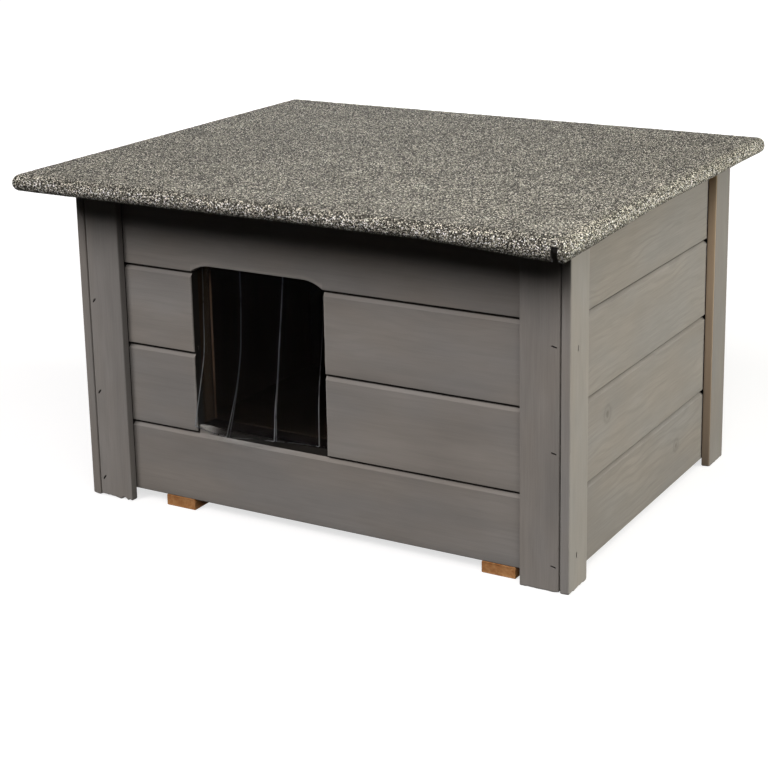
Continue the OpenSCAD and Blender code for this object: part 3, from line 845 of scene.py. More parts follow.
def boardOutline(height, groove, tongue):
    v = wallBoards
    thick, lift, drop = v["thick"], v["lift"], v["drop"]
    deep, slope = v["chamfer"]
    at, wide, tall, play = v["tongue"]
    # depth, height and radius of each corner
    corners = [(at - play, lift, 0), (0, lift, 0.9 * mm)] if groove else [(0, 0, 1.6 * mm)]
    if tongue:
        corners += [(0, height - drop - slope, 1.0 * mm), (0.8 * deep, height - drop - 0.2 * slope, 0),
                    (deep, height - drop, 0.3 * mm), (at, height - drop, 0), (at, height + tall, 0.5 * mm),
                    (at + wide, height + tall, 0.5 * mm), (at + wide, height, 0)]
    else:
        corners.append((0, height, 0.6 * mm))
    corners += [(thick, height, 0), (thick, 0, 0)]
    if groove:
        corners += [(at + wide + play, 0, 0), (at + wide + play, tall + play, 0), (at - play, tall + play, 0)]
    points = fillet([c[:2] for c in corners], [c[2] for c in corners])
    # more points up the face, so that it can cup and its cut ends can wander
    dense = []
    for k, here in enumerate(points):
        there = points[(k + 1) % len(points)]
        dense.append(here)
        run = there[1] - here[1]
        if abs(here[0]) < 1e-7 and abs(there[0]) < 1e-7 and run > v["faceStep"]:
            count = round(run / v["faceStep"])
            dense += [(0.0, here[1] + run * n / count) for n in range(1, count)]
    return dense


def archAt(x):
    run, rise = wallBoards["archRun"], wallBoards["archRise"]
    inside = min(x - doorLeft, doorRight - x)
    if inside <= 0:
        return 0.0
    if inside >= run:
        return rise
    radius = (run * run + rise * rise) / (2 * rise)
    return rise - radius + math.sqrt(max(0.0, radius * radius - (run - inside) ** 2))


def sillTop(x):
    tall, end, fade = wallBoards["stub"]
    ragged = wallBoards["ragged"] * (wobble(x * 260, 3.1, 0) - 0.3)
    return tall * share01((doorLeft + end - x) / fade) + ragged


def nick(x):
    at, wide, deep = wallBoards["nick"]
    return deep * math.exp(-(((x - at) / wide) ** 2))


def makeBoard(node, wall, row, seed):
    v = wallBoards
    low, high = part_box(node)
    front, top = wall == "front", row == 4
    base = low.z
    height = high.z - base - (0 if top else v["tongue"][2])
    outline = boardOutline(height, row > 1, not top)
    deep, tall = v["lowEdge"]
    lowPoints = [k for k, p in enumerate(outline) if p[0] < deep and p[1] < tall]
    cup = v["cup"] * (0.4 + 0.6 * abs(wobble(seed * 1.7, 0.3, 0)))
    axis = 1 - wallSides[wall][0]
    a, b = low[axis], high[axis]
    cuts = [(end, way) for end, way, jamb in ((a, 1, doorRight), (b, -1, doorLeft))
            if front and abs(end - jamb) < 1e-4]
    # the corner boards' shares of the wall, with painted shade in the joints behind them
    covers = [tuple(corner[axis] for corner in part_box(f"{wall}_trim_{end}")) for end in wallEnds[wall]]
    spots = set(linesEvery(a, b, v["lengthStep"]))
    edges = [edge + s * mm for cover in covers for edge in cover for s in (-0.3, 0.3)]
    spots |= {edge for edge in edges if a < edge < b}
    spots |= {end + way * s * mm for end, way in cuts for s in v["cutLines"]}
    if front and row in (1, 4):
        play = v["doorPlay"]
        spots |= {doorLeft - play, doorRight + play}
        spots |= set(linesEvery(doorLeft + play, doorRight - play, v["doorStep"]))

    def inDoor(u):
        return front and doorLeft < u < doorRight

    def shaped(u, k, d, z):
        # slide along the wall, depth and height of a point of the outline
        slide = 0.0
        if d < 1e-7:
            d = cup * (1 - (2 * z / height - 1) ** 2)
        if inDoor(u) and top:
            rise, bend = archAt(u), v["archRound"]
            if k in lowPoints:
                t = lowPoints.index(k) / (len(lowPoints) - 1) * math.pi / 2
                d, z = bend * (1 - math.sin(t)), rise + bend * (1 - math.cos(t))
            elif d > v["grooveZone"][0] and z < v["grooveZone"][1]:
                z = rise
            elif z < rise + v["archBlend"][0]:
                z = z + max(0.0, rise - v["archBlend"][1]) * (1 - z / height)
        if inDoor(u) and row == 1:
            if z > height + v["stubFrom"]:
                z += sillTop(u)
            elif height - v["lipZone"][1] < z <= height and d < v["lipZone"][0]:
                d += nick(u)
                z -= v["nickDrop"] * nick(u)
        for end, way in cuts:
            s, r = abs(u - end), v["cutRound"]
            if s < r:
                d = max(d, r - math.sqrt(max(0.0, r * r - (r - s) ** 2)))
            ragged = wobble((base + z) * 55, seed, 2) + 0.5 * wobble((base + z) * 210, seed, 5)
            slide += way * v["cutWobble"] * max(0.0, 1 - s / v["cutReach"]) * (ragged + 0.35)
        return slide, d, z

    def paintedShadeAt(u, d, z):
        # painted shade in the joints, on the sawn ends and the sill, and behind the corner boards
        if any(lo < u < hi for lo, hi in covers) and not (top and z > height - v["cleanTop"]):
            return v["darkening"]["covered"]
        if inDoor(u) and row == 1 and d > v["sillDepth"]:
            start, fade = v["sillFade"]
            return v["darkening"]["sill"] * share01((u - doorLeft - start) / fade)
        if d > v["cutDepth"] and any(u == end for end, _ in cuts):
            return v["darkening"]["cut"]
        (upper, above), (lower, below) = v["topJoint"], v["footJoint"]
        joint = (d > upper and z > height - v["drop"] - above and not top
                 or d > lower and z < v["lift"] + below and row > 1)
        return v["darkening"][wall] if joint and not inDoor(u) else 0.0

    def wear(p):
        share, reach = v["wear"], v["wearReach"]
        away = min([1.0] + [abs(p.x - end) for end, _ in cuts])
        if inDoor(p.x) and top and p.z < base + archAt(p.x) + reach["arch"]:
            return share["arch"]
        if inDoor(p.x) and row == 1 and p.z > base + height - reach["lip"]:
            return share["tongue" if p.z > base + height + reach["tongue"] else "lip"]
        return share["end"] * max(0.0, 1 - away / reach["end"])

    rings, paintedShades = [], []
    for u in sorted(spots):
        moved = [shaped(u, k, d, z) for k, (d, z) in enumerate(outline)]
        paintedShades += [paintedShadeAt(u, d, z) for _, d, z in moved]
        rings.append([onWall(wall, u + slide, d, base + z) for slide, d, z in moved])
    bm = bmesh.new()
    loft(bm, rings)
    piece = toObject(bm, node + "_painted", [paintX if axis == 0 else paintY])
    markPiece(piece, seed, worn=wear, darkening=paintedShades, level=v["level"].get(node))
    putOn(piece, "house", "grey_paint", node)


def makeBoards():
    seed = 11
    for wall in ("front", "right", "left", "back"):
        for row in (1, 2, 3, 4):
            halves = ("_left", "_right") if wall == "front" and row in (2, 3) else ("",)
            for half in halves:
                makeBoard(f"{wall}_board_{row}{half}", wall, row, seed)
                seed += 1


makeBoards()
print("wall boards made")

# corner boards, with rounded edges, saw-torn lower ends and sunk staples
cornerBoards = {
    "round": 1.5 * mm,
    "step": 3.0 * mm,
    # lines near the foot, then the first of the even ones and their step
    "footLines": (1, 2, 3, 4.5, 6, 9),
    "lengthLines": (15.0 * mm, 14.0 * mm),
    "tear": {"front_trim_left": 2.6 * mm, "left_trim_front": 1.8 * mm, "front_trim_right": 0.9 * mm,
             "right_trim_front": 1.5 * mm},
    "tearElse": 0.8 * mm,
    # height and depth over which the tear fades
    "tearReach": (7.0 * mm, 6.0 * mm),
    "pit": (6.4 * mm, 2.0 * mm, 1.9 * mm),
    "pitsBelow": 300 * mm,
    # staples hidden under filler, counted from the foot, and boards paler or darker than the rest
    "filled": {"right_trim_front": (1,), "right_trim_back": (0, 1, 2)},
    "level": {"right_trim_front": 0.85, "right_trim_back": 0.08},
    # boards whose front edge is bare, more so further up and darker towards the foot
    "bareEdge": ("left_trim_back", "right_trim_back"),
    "bareShare": (0.55, 0.4, 260 * mm),
    "footDarkening": (0.30, 220 * mm),
    "rubbed": 0.12,
}


def cutPit(bm, axis, outward, face, members):
    # over the crown of a staple, turned as it is
    wide, tall, deep = cornerBoards["pit"]
    other = 1 - axis
    outer = max(outward * p[axis] for p in members) * outward
    crown = [p for p in members if abs(p[axis] - outer) < 0.1 * mm]
    middle = sum(crown, Vector()) / len(crown)
    offsets = np.array([[p[other] - middle[other], p.z - middle.z] for p in crown])
    run = np.linalg.svd(offsets)[2][0]
    rings = [[], []]
    for t in np.arange(16) * math.pi / 8:
        x = math.copysign(abs(math.cos(t)) ** 0.6, math.cos(t)) * wide / 2
        y = math.copysign(abs(math.sin(t)) ** 0.8, math.sin(t)) * tall / 2
        for ring, depth in zip(rings, (-1.0 * mm, deep)):
            point = Vector((0, 0, middle.z + x * run[1] + y * run[0]))
            point[axis] = face - outward * depth
            point[other] = middle[other] + x * run[0] - y * run[1]
            ring.append(point)
    loft(bm, rings)


def makeTrim(node, wall, seed, staples):
    v = cornerBoards
    axis, inward = wallSides[wall]
    other = 1 - axis
    low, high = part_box(node)
    face = (low if inward > 0 else high)[axis]
    tear = v["tear"].get(node, v["tearElse"])
    lines = [linesEvery(low[n], high[n], v["step"]) for n in range(2)]
    start, step = v["lengthLines"]
    lines.append([low.z + s * mm for s in v["footLines"]] + linesEvery(low.z + start, high.z, step))

    def shape(p):
        tall, deep = v["tearReach"]
        fade = max(0.0, 1 - (p.z - low.z) / tall)
        teeth = 0.55 + 0.9 * wobble(p[other] * 330, seed, 0.5) + 0.5 * wobble(p[other] * 90, seed, 8)
        outer = max(0.0, 1 - abs(p[axis] - face) / deep)
        return p + Vector((0, 0, tear * fade * (0.25 + 0.75 * outer) * max(0.0, min(1.3, teeth))))

    def thin(p):
        start, more, reach = v["bareShare"]
        bare = node in v["bareEdge"] and abs(p.y - low.y) < 0.5 * mm
        return start + more * min(1.0, p.z / reach) if bare else 0.0

    def rubbed(p):
        side = min(abs(p[other] - low[other]), abs(p[other] - high[other]))
        return v["rubbed"] if side < 1.0 * mm and abs(p[axis] - face) < 1.0 * mm else 0.0

    def holds(members):
        # the staple lies within the board, its crown is at this face, and it is low enough to show
        middle = sum(members, Vector()) / len(members)
        return (all(low[n] - 1 * mm < middle[n] < high[n] + 1 * mm for n in (other, 2))
                and min(abs(p[axis] - face) for p in members) < 1.2 * mm
                and max(p.z for p in members) < v["pitsBelow"])

    bm = bmesh.new()
    roundedBlock(bm, low, high, v["round"], lines, shape)
    piece = toObject(bm, node + "_painted", [paintZ])
    cutter = bmesh.new()
    for k, members in enumerate(sorted(filter(holds, staples), key=lambda m: m[0].z)):
        if k not in v["filled"].get(node, ()):
            cutPit(cutter, axis, -inward, face, members)
    tool = toObject(cutter, node + "_pits", [paintZ])
    cut = piece.modifiers.new("pits", "BOOLEAN")
    cut.operation, cut.object, cut.solver = "DIFFERENCE", tool, "EXACT"
    made = applied(piece, cut)
    bpy.data.objects.remove(tool)
    bm = bmesh.new()
    bm.from_mesh(made)
    smoothEdges(bm, sharpAngle)
    bm.to_mesh(made)
    bm.free()
    most, reach = v["footDarkening"]
    footDark = [most * max(0.0, 1 - p.co.z / reach) if thin(p.co) else 0.0 for p in made.vertices]
    markPiece(piece, seed, worn=rubbed, bare=thin, darkening=footDark, level=v["level"].get(node))
    putOn(piece, "house", "grey_paint", node)


def makeTrims():
    staples = islands("trim_staples")
    names = [(wall, f"{wall}_trim_{end}") for wall, ends in wallEnds.items() for end in ends]
    for seed, (wall, node) in enumerate(names, 51):
        makeTrim(node, wall, seed, staples)


makeTrims()
print("corner boards made")

# runners, doorway frame, roof battens and corner posts: sawn timber with soft arrises
sawnTimber = {
    "runners": {"round": 1.2, "step": 3.0, "rough": 0.45, "slot": "raw_pine",
                "pieces": {"runner_left": pineY, "runner_right": pineY}},
    "doorway": {"round": 0.8, "step": 6.0, "rough": 0.25, "slot": "stained_pine",
                "pieces": {"door_jamb_left": frameShadeZ, "door_jamb_right": frameShadeZ, "door_head": frameShadeX,
                           "door_sill": sillShadeX}},
    "hidden": {"round": 1.0, "step": 12.0, "rough": 0.3, "slot": "raw_pine",
               "pieces": {"roof_battens": deckX, "corner_posts": postZ}},
}
# step along the length, and how much of its roughness a side wanders and an end is torn
sawMarks = {"lengthStep": 25.0, "sway": 0.35, "tear": 2.2}


def sawBlock(bm, low, high, values, seed):
    longest = max(range(3), key=lambda n: high[n] - low[n])
    steps = [sawMarks["lengthStep"] if n == longest else values["step"] for n in range(3)]
    lines = [linesEvery(low[n], high[n], steps[n] * mm) for n in range(3)]
    sway, tear = (values["rough"] * mm * sawMarks[k] for k in ("sway", "tear"))

    def shape(p):
        # torn ends, and sides that wander a little inwards
        moved = p.copy()
        for n in range(3):
            inward = 1 if p[n] < (low[n] + high[n]) / 2 else -1
            u, w = (p[m] for m in range(3) if m != n)
            if n != longest:
                moved[n] += inward * sway * (0.5 + 0.5 * wobble(u * 60, w * 60, seed + n))
            elif min(abs(p[n] - low[n]), abs(p[n] - high[n])) < 1e-6:
                moved[n] += inward * tear * (0.5 + 0.5 * wobble(u * 420, w * 160, seed))
        return moved

    roundedBlock(bm, low, high, values["round"] * mm, lines, shape)


def makeTimber():
    seed = 91
    for values in sawnTimber.values():
        for node, finish in values["pieces"].items():
            bm = bmesh.new()
            for low, high in islandBoxes(node):
                sawBlock(bm, low, high, values, seed)
            piece = toObject(bm, node + "_sawn", [finish])
            markPiece(piece, seed)
            putOn(piece, "roof" if node == "roof_battens" else "house", values["slot"], node)
            seed += 1


makeTimber()
print("timber made")

# roofing felt: one sheet over the boards, wrapped round the edges and turned under
roofFelt = {
    "grid": 2.6 * mm,
    "thick": 2.2 * mm,
    "topRound": 8.6 * mm,
    "lowRound": 7.6 * mm,
    "under": 17.0 * mm,
    "grain": 0.30 * mm,
    "square": 0.6,
    "sag": 0.55 * mm,
    "swell": 0.35 * mm,
    # rows of the section: those over which the sag grows, on the top, down the side, and the turned-under one
    "sagRows": 5,
    "topRows": 6,
    "sideRows": range(3, 12),
    "underRow": 12,
    # the corner cuts: the row where they begin, their width there and at the end, and the closely folded one
    "firstCut": 4,
    "notch": (6.5 * mm, 9.0 * mm),
    "closeFold": 0.5 * mm,
    "cornerSteps": 6,
    # loose corner, front right: how far the edge hangs, by the distance along the front and along the side
    "looseFront": ([0, 11, 52, 98, 150], [7.4, 7.1, 5.4, 2.6, 0.0]),
    "looseSide": ([0, 60, 190], [7.4, 5.0, 0.0]),
}
feltLow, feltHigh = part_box("roof_felt")


def looseDrop(x, y):
    front = np.interp((feltHigh.x - x) / mm, *roofFelt["looseFront"])
    side = np.interp((y - feltLow.y) / mm, *roofFelt["looseSide"])
    return float(min(front, side)) * mm


def makeFeltSheet():
    v = roofFelt
    low, high = feltLow, feltHigh
    halfX, halfY = (high.x - low.x) / 2, (high.y - low.y) / 2
    midX, midY = (high.x + low.x) / 2, (high.y + low.y) / 2
    big, small = v["topRound"], v["lowRound"]
    inX, inY = halfX - big, halfY - big
    nx, ny = round(2 * inX / v["grid"]), round(2 * inY / v["grid"])
    firstCut, steps = v["firstCut"], v["cornerSteps"]
    rng = np.random.default_rng(7)
    bm = bmesh.new()

    def rows(less):
        # (outward, height) down the section, for the outer face or the inner one
        r1, r2 = big - less, small - less
        straight = high.z - low.z - big - small
        centre = big - small
        upper, lower = np.radians((18, 36, 54, 72, 90)), np.radians((22, 45, 67, 90))
        made = [(0.0, high.z - less)]
        made += [(r1 * math.sin(t), high.z - big + r1 * math.cos(t)) for t in upper]
        made += [(r1, high.z - big - straight * k / 3) for k in (1, 2, 3)]
        made += [(centre + r2 * math.cos(t), low.z + small - r2 * math.sin(t)) for t in lower]
        made += [(centre - (v["under"] - small) * k / 4, low.z + less) for k in (1, 2, 3, 4)]
        return made

    # each side: its normal, where it starts and stops, its count of steps
    sides = (((0, -1), (-1, -1), (1, -1), nx), ((1, 0), (1, -1), (1, 1), ny),
             ((0, 1), (1, 1), (-1, 1), nx), ((-1, 0), (-1, 1), (-1, -1), ny))

    def ringPoints(out, cutShare):
        # round the roof: front, right corner, right, back, left and so on
        wide, deep, arc = inX + min(out, 0.0), inY + min(out, 0.0), max(out, 0.0)
        gap = 0.0 if cutShare < 0 else v["notch"][0] + (v["notch"][1] - v["notch"][0]) * cutShare ** 1.5
        made = []
        for k, (normal, start, stop, count) in enumerate(sides):
            cut = k in (0, 2)
            a = Vector((start[0] * wide, start[1] * deep))
            b = corner = Vector((stop[0] * wide, stop[1] * deep))
            if cut:
                way = (b - a).normalized()
                a, b = a + way * (min(gap, v["closeFold"]) if k == 0 else gap), b - way * gap
            made += [a.lerp(b, n / count) + Vector(normal) * arc for n in range(count + 1)]
            begin = math.atan2(normal[1], normal[0])
            for n in range(0 if cut else 1, steps if cut else steps + 1):
                t = begin + math.pi / 2 * n / steps
                east, north = (math.copysign(abs(c) ** v["square"], c) for c in (math.cos(t), math.sin(t)))
                made.append(Vector((corner.x + arc * east, corner.y + arc * north)))
        return made

    def build(section, roughness):
        loops = []
        for j, (out, height) in enumerate(section):
            cutShare = -1.0 if j < firstCut else (j - firstCut) / (len(section) - 1 - firstCut)
            below = max(0, j - v["underRow"])
            hang = share01((high.z - height) / (high.z - low.z) * (1.0 - 0.12 * below))
            loop = []
            for x, y in ringPoints(out, cutShare):
                z = height
                if roughness:
                    sway = wobble(x * 17, y * 17, 1.0) + 0.6 * wobble(x * 55, y * 55, 4.0)
                    sway = v["sag"] * min(1.0, j / v["sagRows"]) * sway
                    z += 0.3 * sway if below else sway
                    grit = roughness * rng.uniform(-1, 1)
                    if j < v["topRows"]:
                        z += 0.6 * grit
                    if j in v["sideRows"] and abs(x / halfX) > abs(y / halfY):
                        x += math.copysign(grit, x)
                    elif j in v["sideRows"]:
                        y += math.copysign(grit, y)
                z -= looseDrop(midX + x, midY + y) * hang
                loop.append(bm.verts.new((midX + x, midY + y, z)))
            loops.append(loop)
        return loops

    outer, inner = build(rows(0.0), v["grain"]), build(rows(v["thick"]), 0.0)
    count = len(outer[0])
    # places round the ring where the corner cuts open
    cutAt, position = set(), 0
    for normal, _, _, side in sides:
        position += side + 1 + steps
        cutAt.add(position - 1 - steps if normal[0] == 0 else position - 1)
    outerFaces = []
    for loops, inside in ((outer, 0), (inner, 1)):
        for j, c in np.ndindex(len(loops) - 1, count):
            if j >= firstCut and c in cutAt:
                continue
            on = (c + 1) % count
            quad = [loops[j][c], loops[j + 1][c], loops[j + 1][on], loops[j][on]]
            face = bm.faces.new(quad[::-1] if inside else quad)
            face.material_index = inside
            if not inside:
                outerFaces.append(face)
    # the sheet's edges, from the outer face to the inner one
    links = {p: q for a, b in zip(outer, inner) for p, q in zip(a, b)}
    topRim = {frozenset((outer[0][c], outer[0][(c + 1) % count])) for c in range(count)}
    for edge in [e for face in outerFaces for e in face.edges if len(e.link_faces) == 1]:
        a, b = edge.verts
        if frozenset((a, b)) not in topRim:
            bm.faces.new((a, b, links[b], links[a])).material_index = 1
    # top of the sheet on a grid, sharing the first ring
    border = {}
    for vert in outer[0]:
        border.setdefault((round(vert.co.x - midX, 5), round(vert.co.y - midY, 5)), vert)
    grid = {}
    for i, j in np.ndindex(nx + 1, ny + 1):
        x, y = -inX + 2 * inX * i / nx, -inY + 2 * inY * j / ny
        if i in (0, nx) or j in (0, ny):
            vert = border.get((round(x, 5), round(y, 5)))
            if vert is None:
                vert = min(outer[0], key=lambda w: (w.co.x - midX - x) ** 2 + (w.co.y - midY - y) ** 2)
        else:
            swell = v["swell"] * (wobble(x * 9, y * 9, 2.2) + 0.5 * wobble(x * 31, y * 31, 6.1))
            vert = bm.verts.new((midX + x, midY + y, high.z + swell + v["grain"] * rng.uniform(-1, 1)))
        grid[i, j] = vert
    for i, j in np.ndindex(nx, ny):
        quad = [grid[i, j], grid[i + 1, j], grid[i + 1, j + 1], grid[i, j + 1]]
        if len(set(quad)) == 4:
            bm.faces.new(quad)
    bm.faces.new(inner[0][::-1]).material_index = 1
    bmesh.ops.remove_doubles(bm, verts=bm.verts, dist=2e-6)
    return toObject(bm, "roof_felt_sheet", [feltFinish, bitumenFinish], 50)


feltPiece = makeFeltSheet()
putOn(feltPiece, "roof", "felt", "roof_felt")
print("felt made:", len(feltPiece.data.polygons), "faces")

# strip curtain: three clear strips, clamped at the top and bowed out over the sill at the foot
stripCurtain = {
    "thick": 2.0 * mm,
    "footHeight": 98.2 * mm,
    "hangHeight": 268 * mm,
    # how far the left and right edge of each strip stand out at the foot
    "bow": {"strip_left": (15.0, 27.0), "strip_middle": (28.0, 16.0), "strip_right": (14.5, 8.0)},
    "curl": {"strip_left": -1.5, "strip_middle": 1.0, "strip_right": 1.0},
    # height of a point on an edge, and how far it lies off the straight strip
    "leftEdge": {
        "strip_left": [(98, -5.6), (110, -4.6), (143, -1.0), (180, 2.9), (219, 1.9), (254, 1.7), (268, 1.5)],
        "strip_middle": [(98, -2.8), (122, -0.8), (152, 1.0), (185, 2.0), (216, 1.0), (267, -0.6)],
        "strip_right": [(98, -3.0), (133, -4.4), (157, -3.7), (202, -1.9), (240, 0.4), (267, 2.4)],
    },
    "rightEdge": {
        "strip_left": [(98, -6.0), (122, -2.8), (152, 0.8), (185, 2.3), (216, 1.4), (267, -0.2)],
        "strip_middle": [(98, -3.6), (134, -4.5), (157, -3.3), (202, -1.5), (240, 0.8), (267, 2.7)],
        "strip_right": [(98, -3.5), (148, -4.7), (178, -3.2), (200, -1.5), (235, 0.6), (268, 1.5)],
    },
    # height on an edge, and how bright its painted highlight is there
    "leftGlint": {
        "strip_left": [(98, 0.85), (130, 0.9), (150, 0.78), (175, 0.5), (201, 0.25), (242, 0.10),
                       (268, 0.05)],
        "strip_middle": [(98, 0.2), (150, 0.1), (215, 0.07), (268, 0.04)],
        "strip_right": [(98, 0.35), (160, 0.18), (268, 0.12)],
    },
    "rightGlint": {
        "strip_left": [(98, 0.45), (130, 0.28), (160, 0.2), (201, 0.24), (242, 0.28), (268, 0.08)],
        "strip_middle": [(98, 0.75), (130, 0.68), (160, 0.42), (180, 0.6), (205, 1.0), (245, 1.0), (262, 0.6),
                         (268, 0.35)],
        "strip_right": [(98, 0.75), (150, 0.78), (165, 0.5), (180, 0.15), (205, 0.05), (268, 0.0)],
    },
    "footGlint": 0.02,
    "bowPower": 1.7,
    "ripple": 0.25 * mm,
    "columns": 10,
    "rowStep": 3.5 * mm,
    "bendFrom": 271.0 * mm,
    "bendTo": 238.0 * mm,
}


def alongEdge(marks, z):
    # smooth run through the marks
    heights, values = (np.array(column, float) for column in zip(*marks))
    slopes = np.gradient(values, heights)
    z = min(max(z / mm, heights[0]), heights[-1])
    k = min(int(np.searchsorted(heights, z, "right")) - 1, len(marks) - 2)
    step = heights[k + 1] - heights[k]
    t = (z - heights[k]) / step
    return float((2 * t ** 3 - 3 * t ** 2 + 1) * values[k] + (t ** 3 - 2 * t ** 2 + t) * step * slopes[k]
                 + (3 * t ** 2 - 2 * t ** 3) * values[k + 1] + (t ** 3 - t ** 2) * step * slopes[k + 1])


def makeStrip(node):
    v = stripCurtain
    low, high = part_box(node)
    x0, x1 = low.x, high.x
    middle = (low.y + high.y) / 2
    heights = linesEvery(v["footHeight"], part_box("strip_clamped_ends")[1].z, v["rowStep"])
    n, m = len(heights) - 1, v["columns"]
    bow, curl = v["bow"][node], v["curl"][node]
    points, glints = {}, []
    bm = bmesh.new()
    for i, z in enumerate(heights):
        drop = max(0.0, (v["hangHeight"] - z) / (v["hangHeight"] - v["footHeight"]))
        left, right = (alongEdge(v[side][node], z) * mm for side in ("leftEdge", "rightEdge"))
        # painted highlight of the strip's left and right edge at this height
        ends = {j: alongEdge(v[side][node], z) for j, side in ((0, "leftGlint"), (m, "rightGlint"))}
        for j in range(m + 1):
            s = j / m
            out = (bow[0] * (1 - s) + bow[1] * s) * mm * drop ** v["bowPower"]
            inward = curl * mm * drop ** 2 * (1 - 4 * (s - 0.5) ** 2)
            x = x0 + left + (x1 + right - x0 - left) * s
            y = middle - out + inward + v["ripple"] * drop * wobble(x * 40, z * 40, 2)
            for face, deep in ((0, -v["thick"] / 2), (1, v["thick"] / 2)):
                points[i, j, face] = bm.verts.new((x, y + deep, z))
                glints.append(ends.get(j, v["footGlint"]))

    def addFace(finish, *keys):
        bm.faces.new([points[key] for key in keys]).material_index = finish

    for i, j in np.ndindex(n, m):
        addFace(0, (i, j, 0), (i, j + 1, 0), (i + 1, j + 1, 0), (i + 1, j, 0))
        addFace(0, (i + 1, j, 1), (i + 1, j + 1, 1), (i, j + 1, 1), (i, j, 1))
    for i in range(n):
        for j in (0, m):
            addFace(1, (i, j, 0), (i + 1, j, 0), (i + 1, j, 1), (i, j, 1))
    for j in range(m):
        for i in (0, n):
            addFace(1, (i, j, 0), (i, j + 1, 0), (i, j + 1, 1), (i, j, 1))
    piece = toObject(bm, node + "_clear", [clearFinish, clearEdgeFinish], 40)
    setMark(piece.data, "glint", glints)
    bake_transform(piece)
    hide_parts(node, "strip_clamped_ends")


for node in ("strip_left", "strip_middle", "strip_right"):
    makeStrip(node)
print("strip curtain made")

# fasteners, each set by a node tree
feltNails = {"Head Width": 7.0 * mm, "Head Height": 0.6 * mm, "Shank Width": 2.2 * mm,
             "Shank Length": 9.0 * mm}
hingeScrews = {"Head Width": 5.5 * mm, "Head Height": 1.45 * mm, "Shank Width": 3.0 * mm,
               "Shank Length": 8.0 * mm, "Recess": 3.0 * mm, "Turn": (0.0, 0.0, 0.0)}
nailLift = 1.0 * mm
nailHang = 0.94


def newFastener(name, sizes):
    inputs = {"Geometry": "Geometry", **sizes, "Finish": "Material"}
    tree, given, end = newGroup(name, inputs, {"Geometry": "Geometry"}, "Geometry")
    halves = [times(tree, given[k], 0.5) for k in ("Head Width", "Shank Width", "Shank Length")]
    return tree, given, end, halves


def lifted(tree, mesh, lift):
    shift = valueOf(tree, "CombineXYZ", {"Z": lift})
    return valueOf(tree, "GeometryNodeTransform", {"Geometry": mesh, "Translation": shift})


def joined(tree, meshes):
    join = place(tree, "GeometryNodeJoinGeometry")
    for mesh in meshes:
        tree.links.new(mesh, join.inputs[0])
    return join.outputs[0]


def setOnPoints(tree, given, end, whole, turn):
    inputs = {"Points": given["Geometry"], "Instance": whole, "Rotation": turn}
    spots = valueOf(tree, "GeometryNodeInstanceOnPoints", inputs)
    real = valueOf(tree, "GeometryNodeRealizeInstances", {0: spots})
    inputs = {"Geometry": real, "Material": given["Finish"]}
    feed(tree, end, {0: valueOf(tree, "GeometryNodeSetMaterial", inputs)})
    return tree


def nailTree():
    tree, given, end, (head, shank, reach) = newFastener("cloutNail", feltNails)
    cone = {"Vertices": 18, "Side Segments": 2, "Radius Top": head, "Radius Bottom": times(tree, head, 0.72),
            "Depth": given["Head Height"]}
    rod = {"Vertices": 8, "Radius": shank, "Depth": given["Shank Length"]}
    whole = joined(tree, [
        lifted(tree, valueOf(tree, "GeometryNodeMeshCone", cone), times(tree, given["Head Height"], -1.0)),
        lifted(tree, valueOf(tree, "GeometryNodeMeshCylinder", rod), reach)])
    limits = {0: (-0.05, -0.05, 0.0), 1: (0.05, 0.05, 6.28), "Seed": 5}
    tilt = valueOf(tree, "FunctionNodeRandomValue", limits, data_type="FLOAT_VECTOR")
    return setOnPoints(tree, given, end, whole, tilt)


def screwTree():
    tree, given, end, (head, shank, reach) = newFastener("countersunkScrew", hingeScrews)
    cone = {"Vertices": 24, "Radius Top": shank, "Radius Bottom": head, "Depth": given["Head Height"]}
    rod = {"Vertices": 10, "Radius": shank, "Depth": given["Shank Length"]}
    wide, slit = given["Recess"], times(tree, given["Recess"], 0.24)
    sizes = [{"X": a, "Y": b, "Z": given["Head Height"]} for a, b in ((wide, slit), (slit, wide))]
    bars = [valueOf(tree, "GeometryNodeMeshCube", {"Size": valueOf(tree, "CombineXYZ", s)}) for s in sizes]
    solids = {0: valueOf(tree, "GeometryNodeMeshCone", cone), 1: joined(tree, bars)}
    cut = valueOf(tree, "GeometryNodeMeshBoolean", solids, operation="DIFFERENCE")
    lift = plus(tree, reach, given["Head Height"])
    whole = joined(tree, [cut, lifted(tree, valueOf(tree, "GeometryNodeMeshCylinder", rod), lift)])
    return setOnPoints(tree, given, end, whole, given["Turn"])


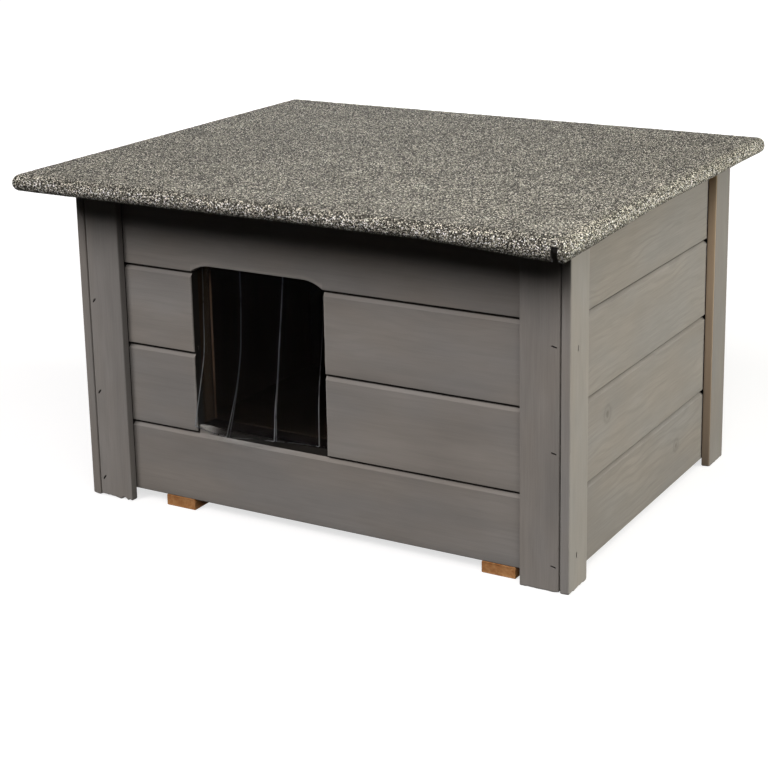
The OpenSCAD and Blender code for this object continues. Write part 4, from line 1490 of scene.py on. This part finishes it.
def runTree(name, points, tree, values):
    source = bpy.data.meshes.new(name + "Spots")
    source.from_pydata([tuple(p) for p in points], [], [])
    piece = addObject(name, source)
    modifier = piece.modifiers.new(name, "NODES")
    modifier.node_group = tree
    keys = {item.name: item.identifier for item in tree.interface.items_tree if item.in_out == "INPUT"}
    for label, value in values.items():
        modifier[keys[label]] = value
    made = applied(piece, modifier)
    if not made.materials:
        made.materials.append(values["Finish"])
    return piece


def makeFasteners():
    # a nail's head lies against the felt's underside
    spots = [(a.lerp(b, 0.5), a.z + nailLift) for a, b in islandBoxes("felt_nails")]
    points = [(p.x, p.y, z - nailHang * looseDrop(p.x, p.y)) for p, z in spots]
    piece = runTree("felt_nail_heads", points, nailTree(), {**feltNails, "Finish": nailShadeFinish})
    putOn(piece, "roof", "zinc_steel", "felt_nails")
    # a screw's head lies at the outer face of its leaf
    tree = screwTree()
    wallSpots = [((a.x + b.x) / 2, b.y, (a.z + b.z) / 2) for a, b in islandBoxes("hinge_wall_screws")]
    roofSpots = [((a.x + b.x) / 2, (a.y + b.y) / 2, a.z) for a, b in islandBoxes("hinge_roof_screws")]
    for node, body, points, turn in (("hinge_wall_screws", "house", wallSpots, (math.pi / 2, 0.0, 0.0)),
                                     ("hinge_roof_screws", "roof", roofSpots, (0.0, 0.0, 0.0))):
        piece = runTree(node + "_set", points, tree, {**hingeScrews, "Turn": turn, "Finish": zincFinish})
        putOn(piece, body, "zinc_steel", node)


makeFasteners()
print("fasteners set")

# CAD solids that stay, with their finishes
keptFinishes = (
    (liningShadeFinish, ("floor_base", "floor_panel", "back_lining", "left_lining", "right_lining",
                    "roof_lining")),
    (doorLiningShadeFinish, ("front_lining",)),
    (foamFinish, ("floor_insulation", "front_insulation", "back_insulation", "side_insulation",
                  "roof_insulation")),
    (deckX, ("roof_boards",)),
    (stapleShadeFinish, ("trim_staples",)),
    (zincFinish, ("hinge_wall_leaves", "hinge_roof_leaves", "hinge_pins")),
)
for finish, names in keptFinishes:
    for name in names:
        cadNodes[name].data.materials.clear()
        cadNodes[name].data.materials.append(finish)
print("kept solids dressed")
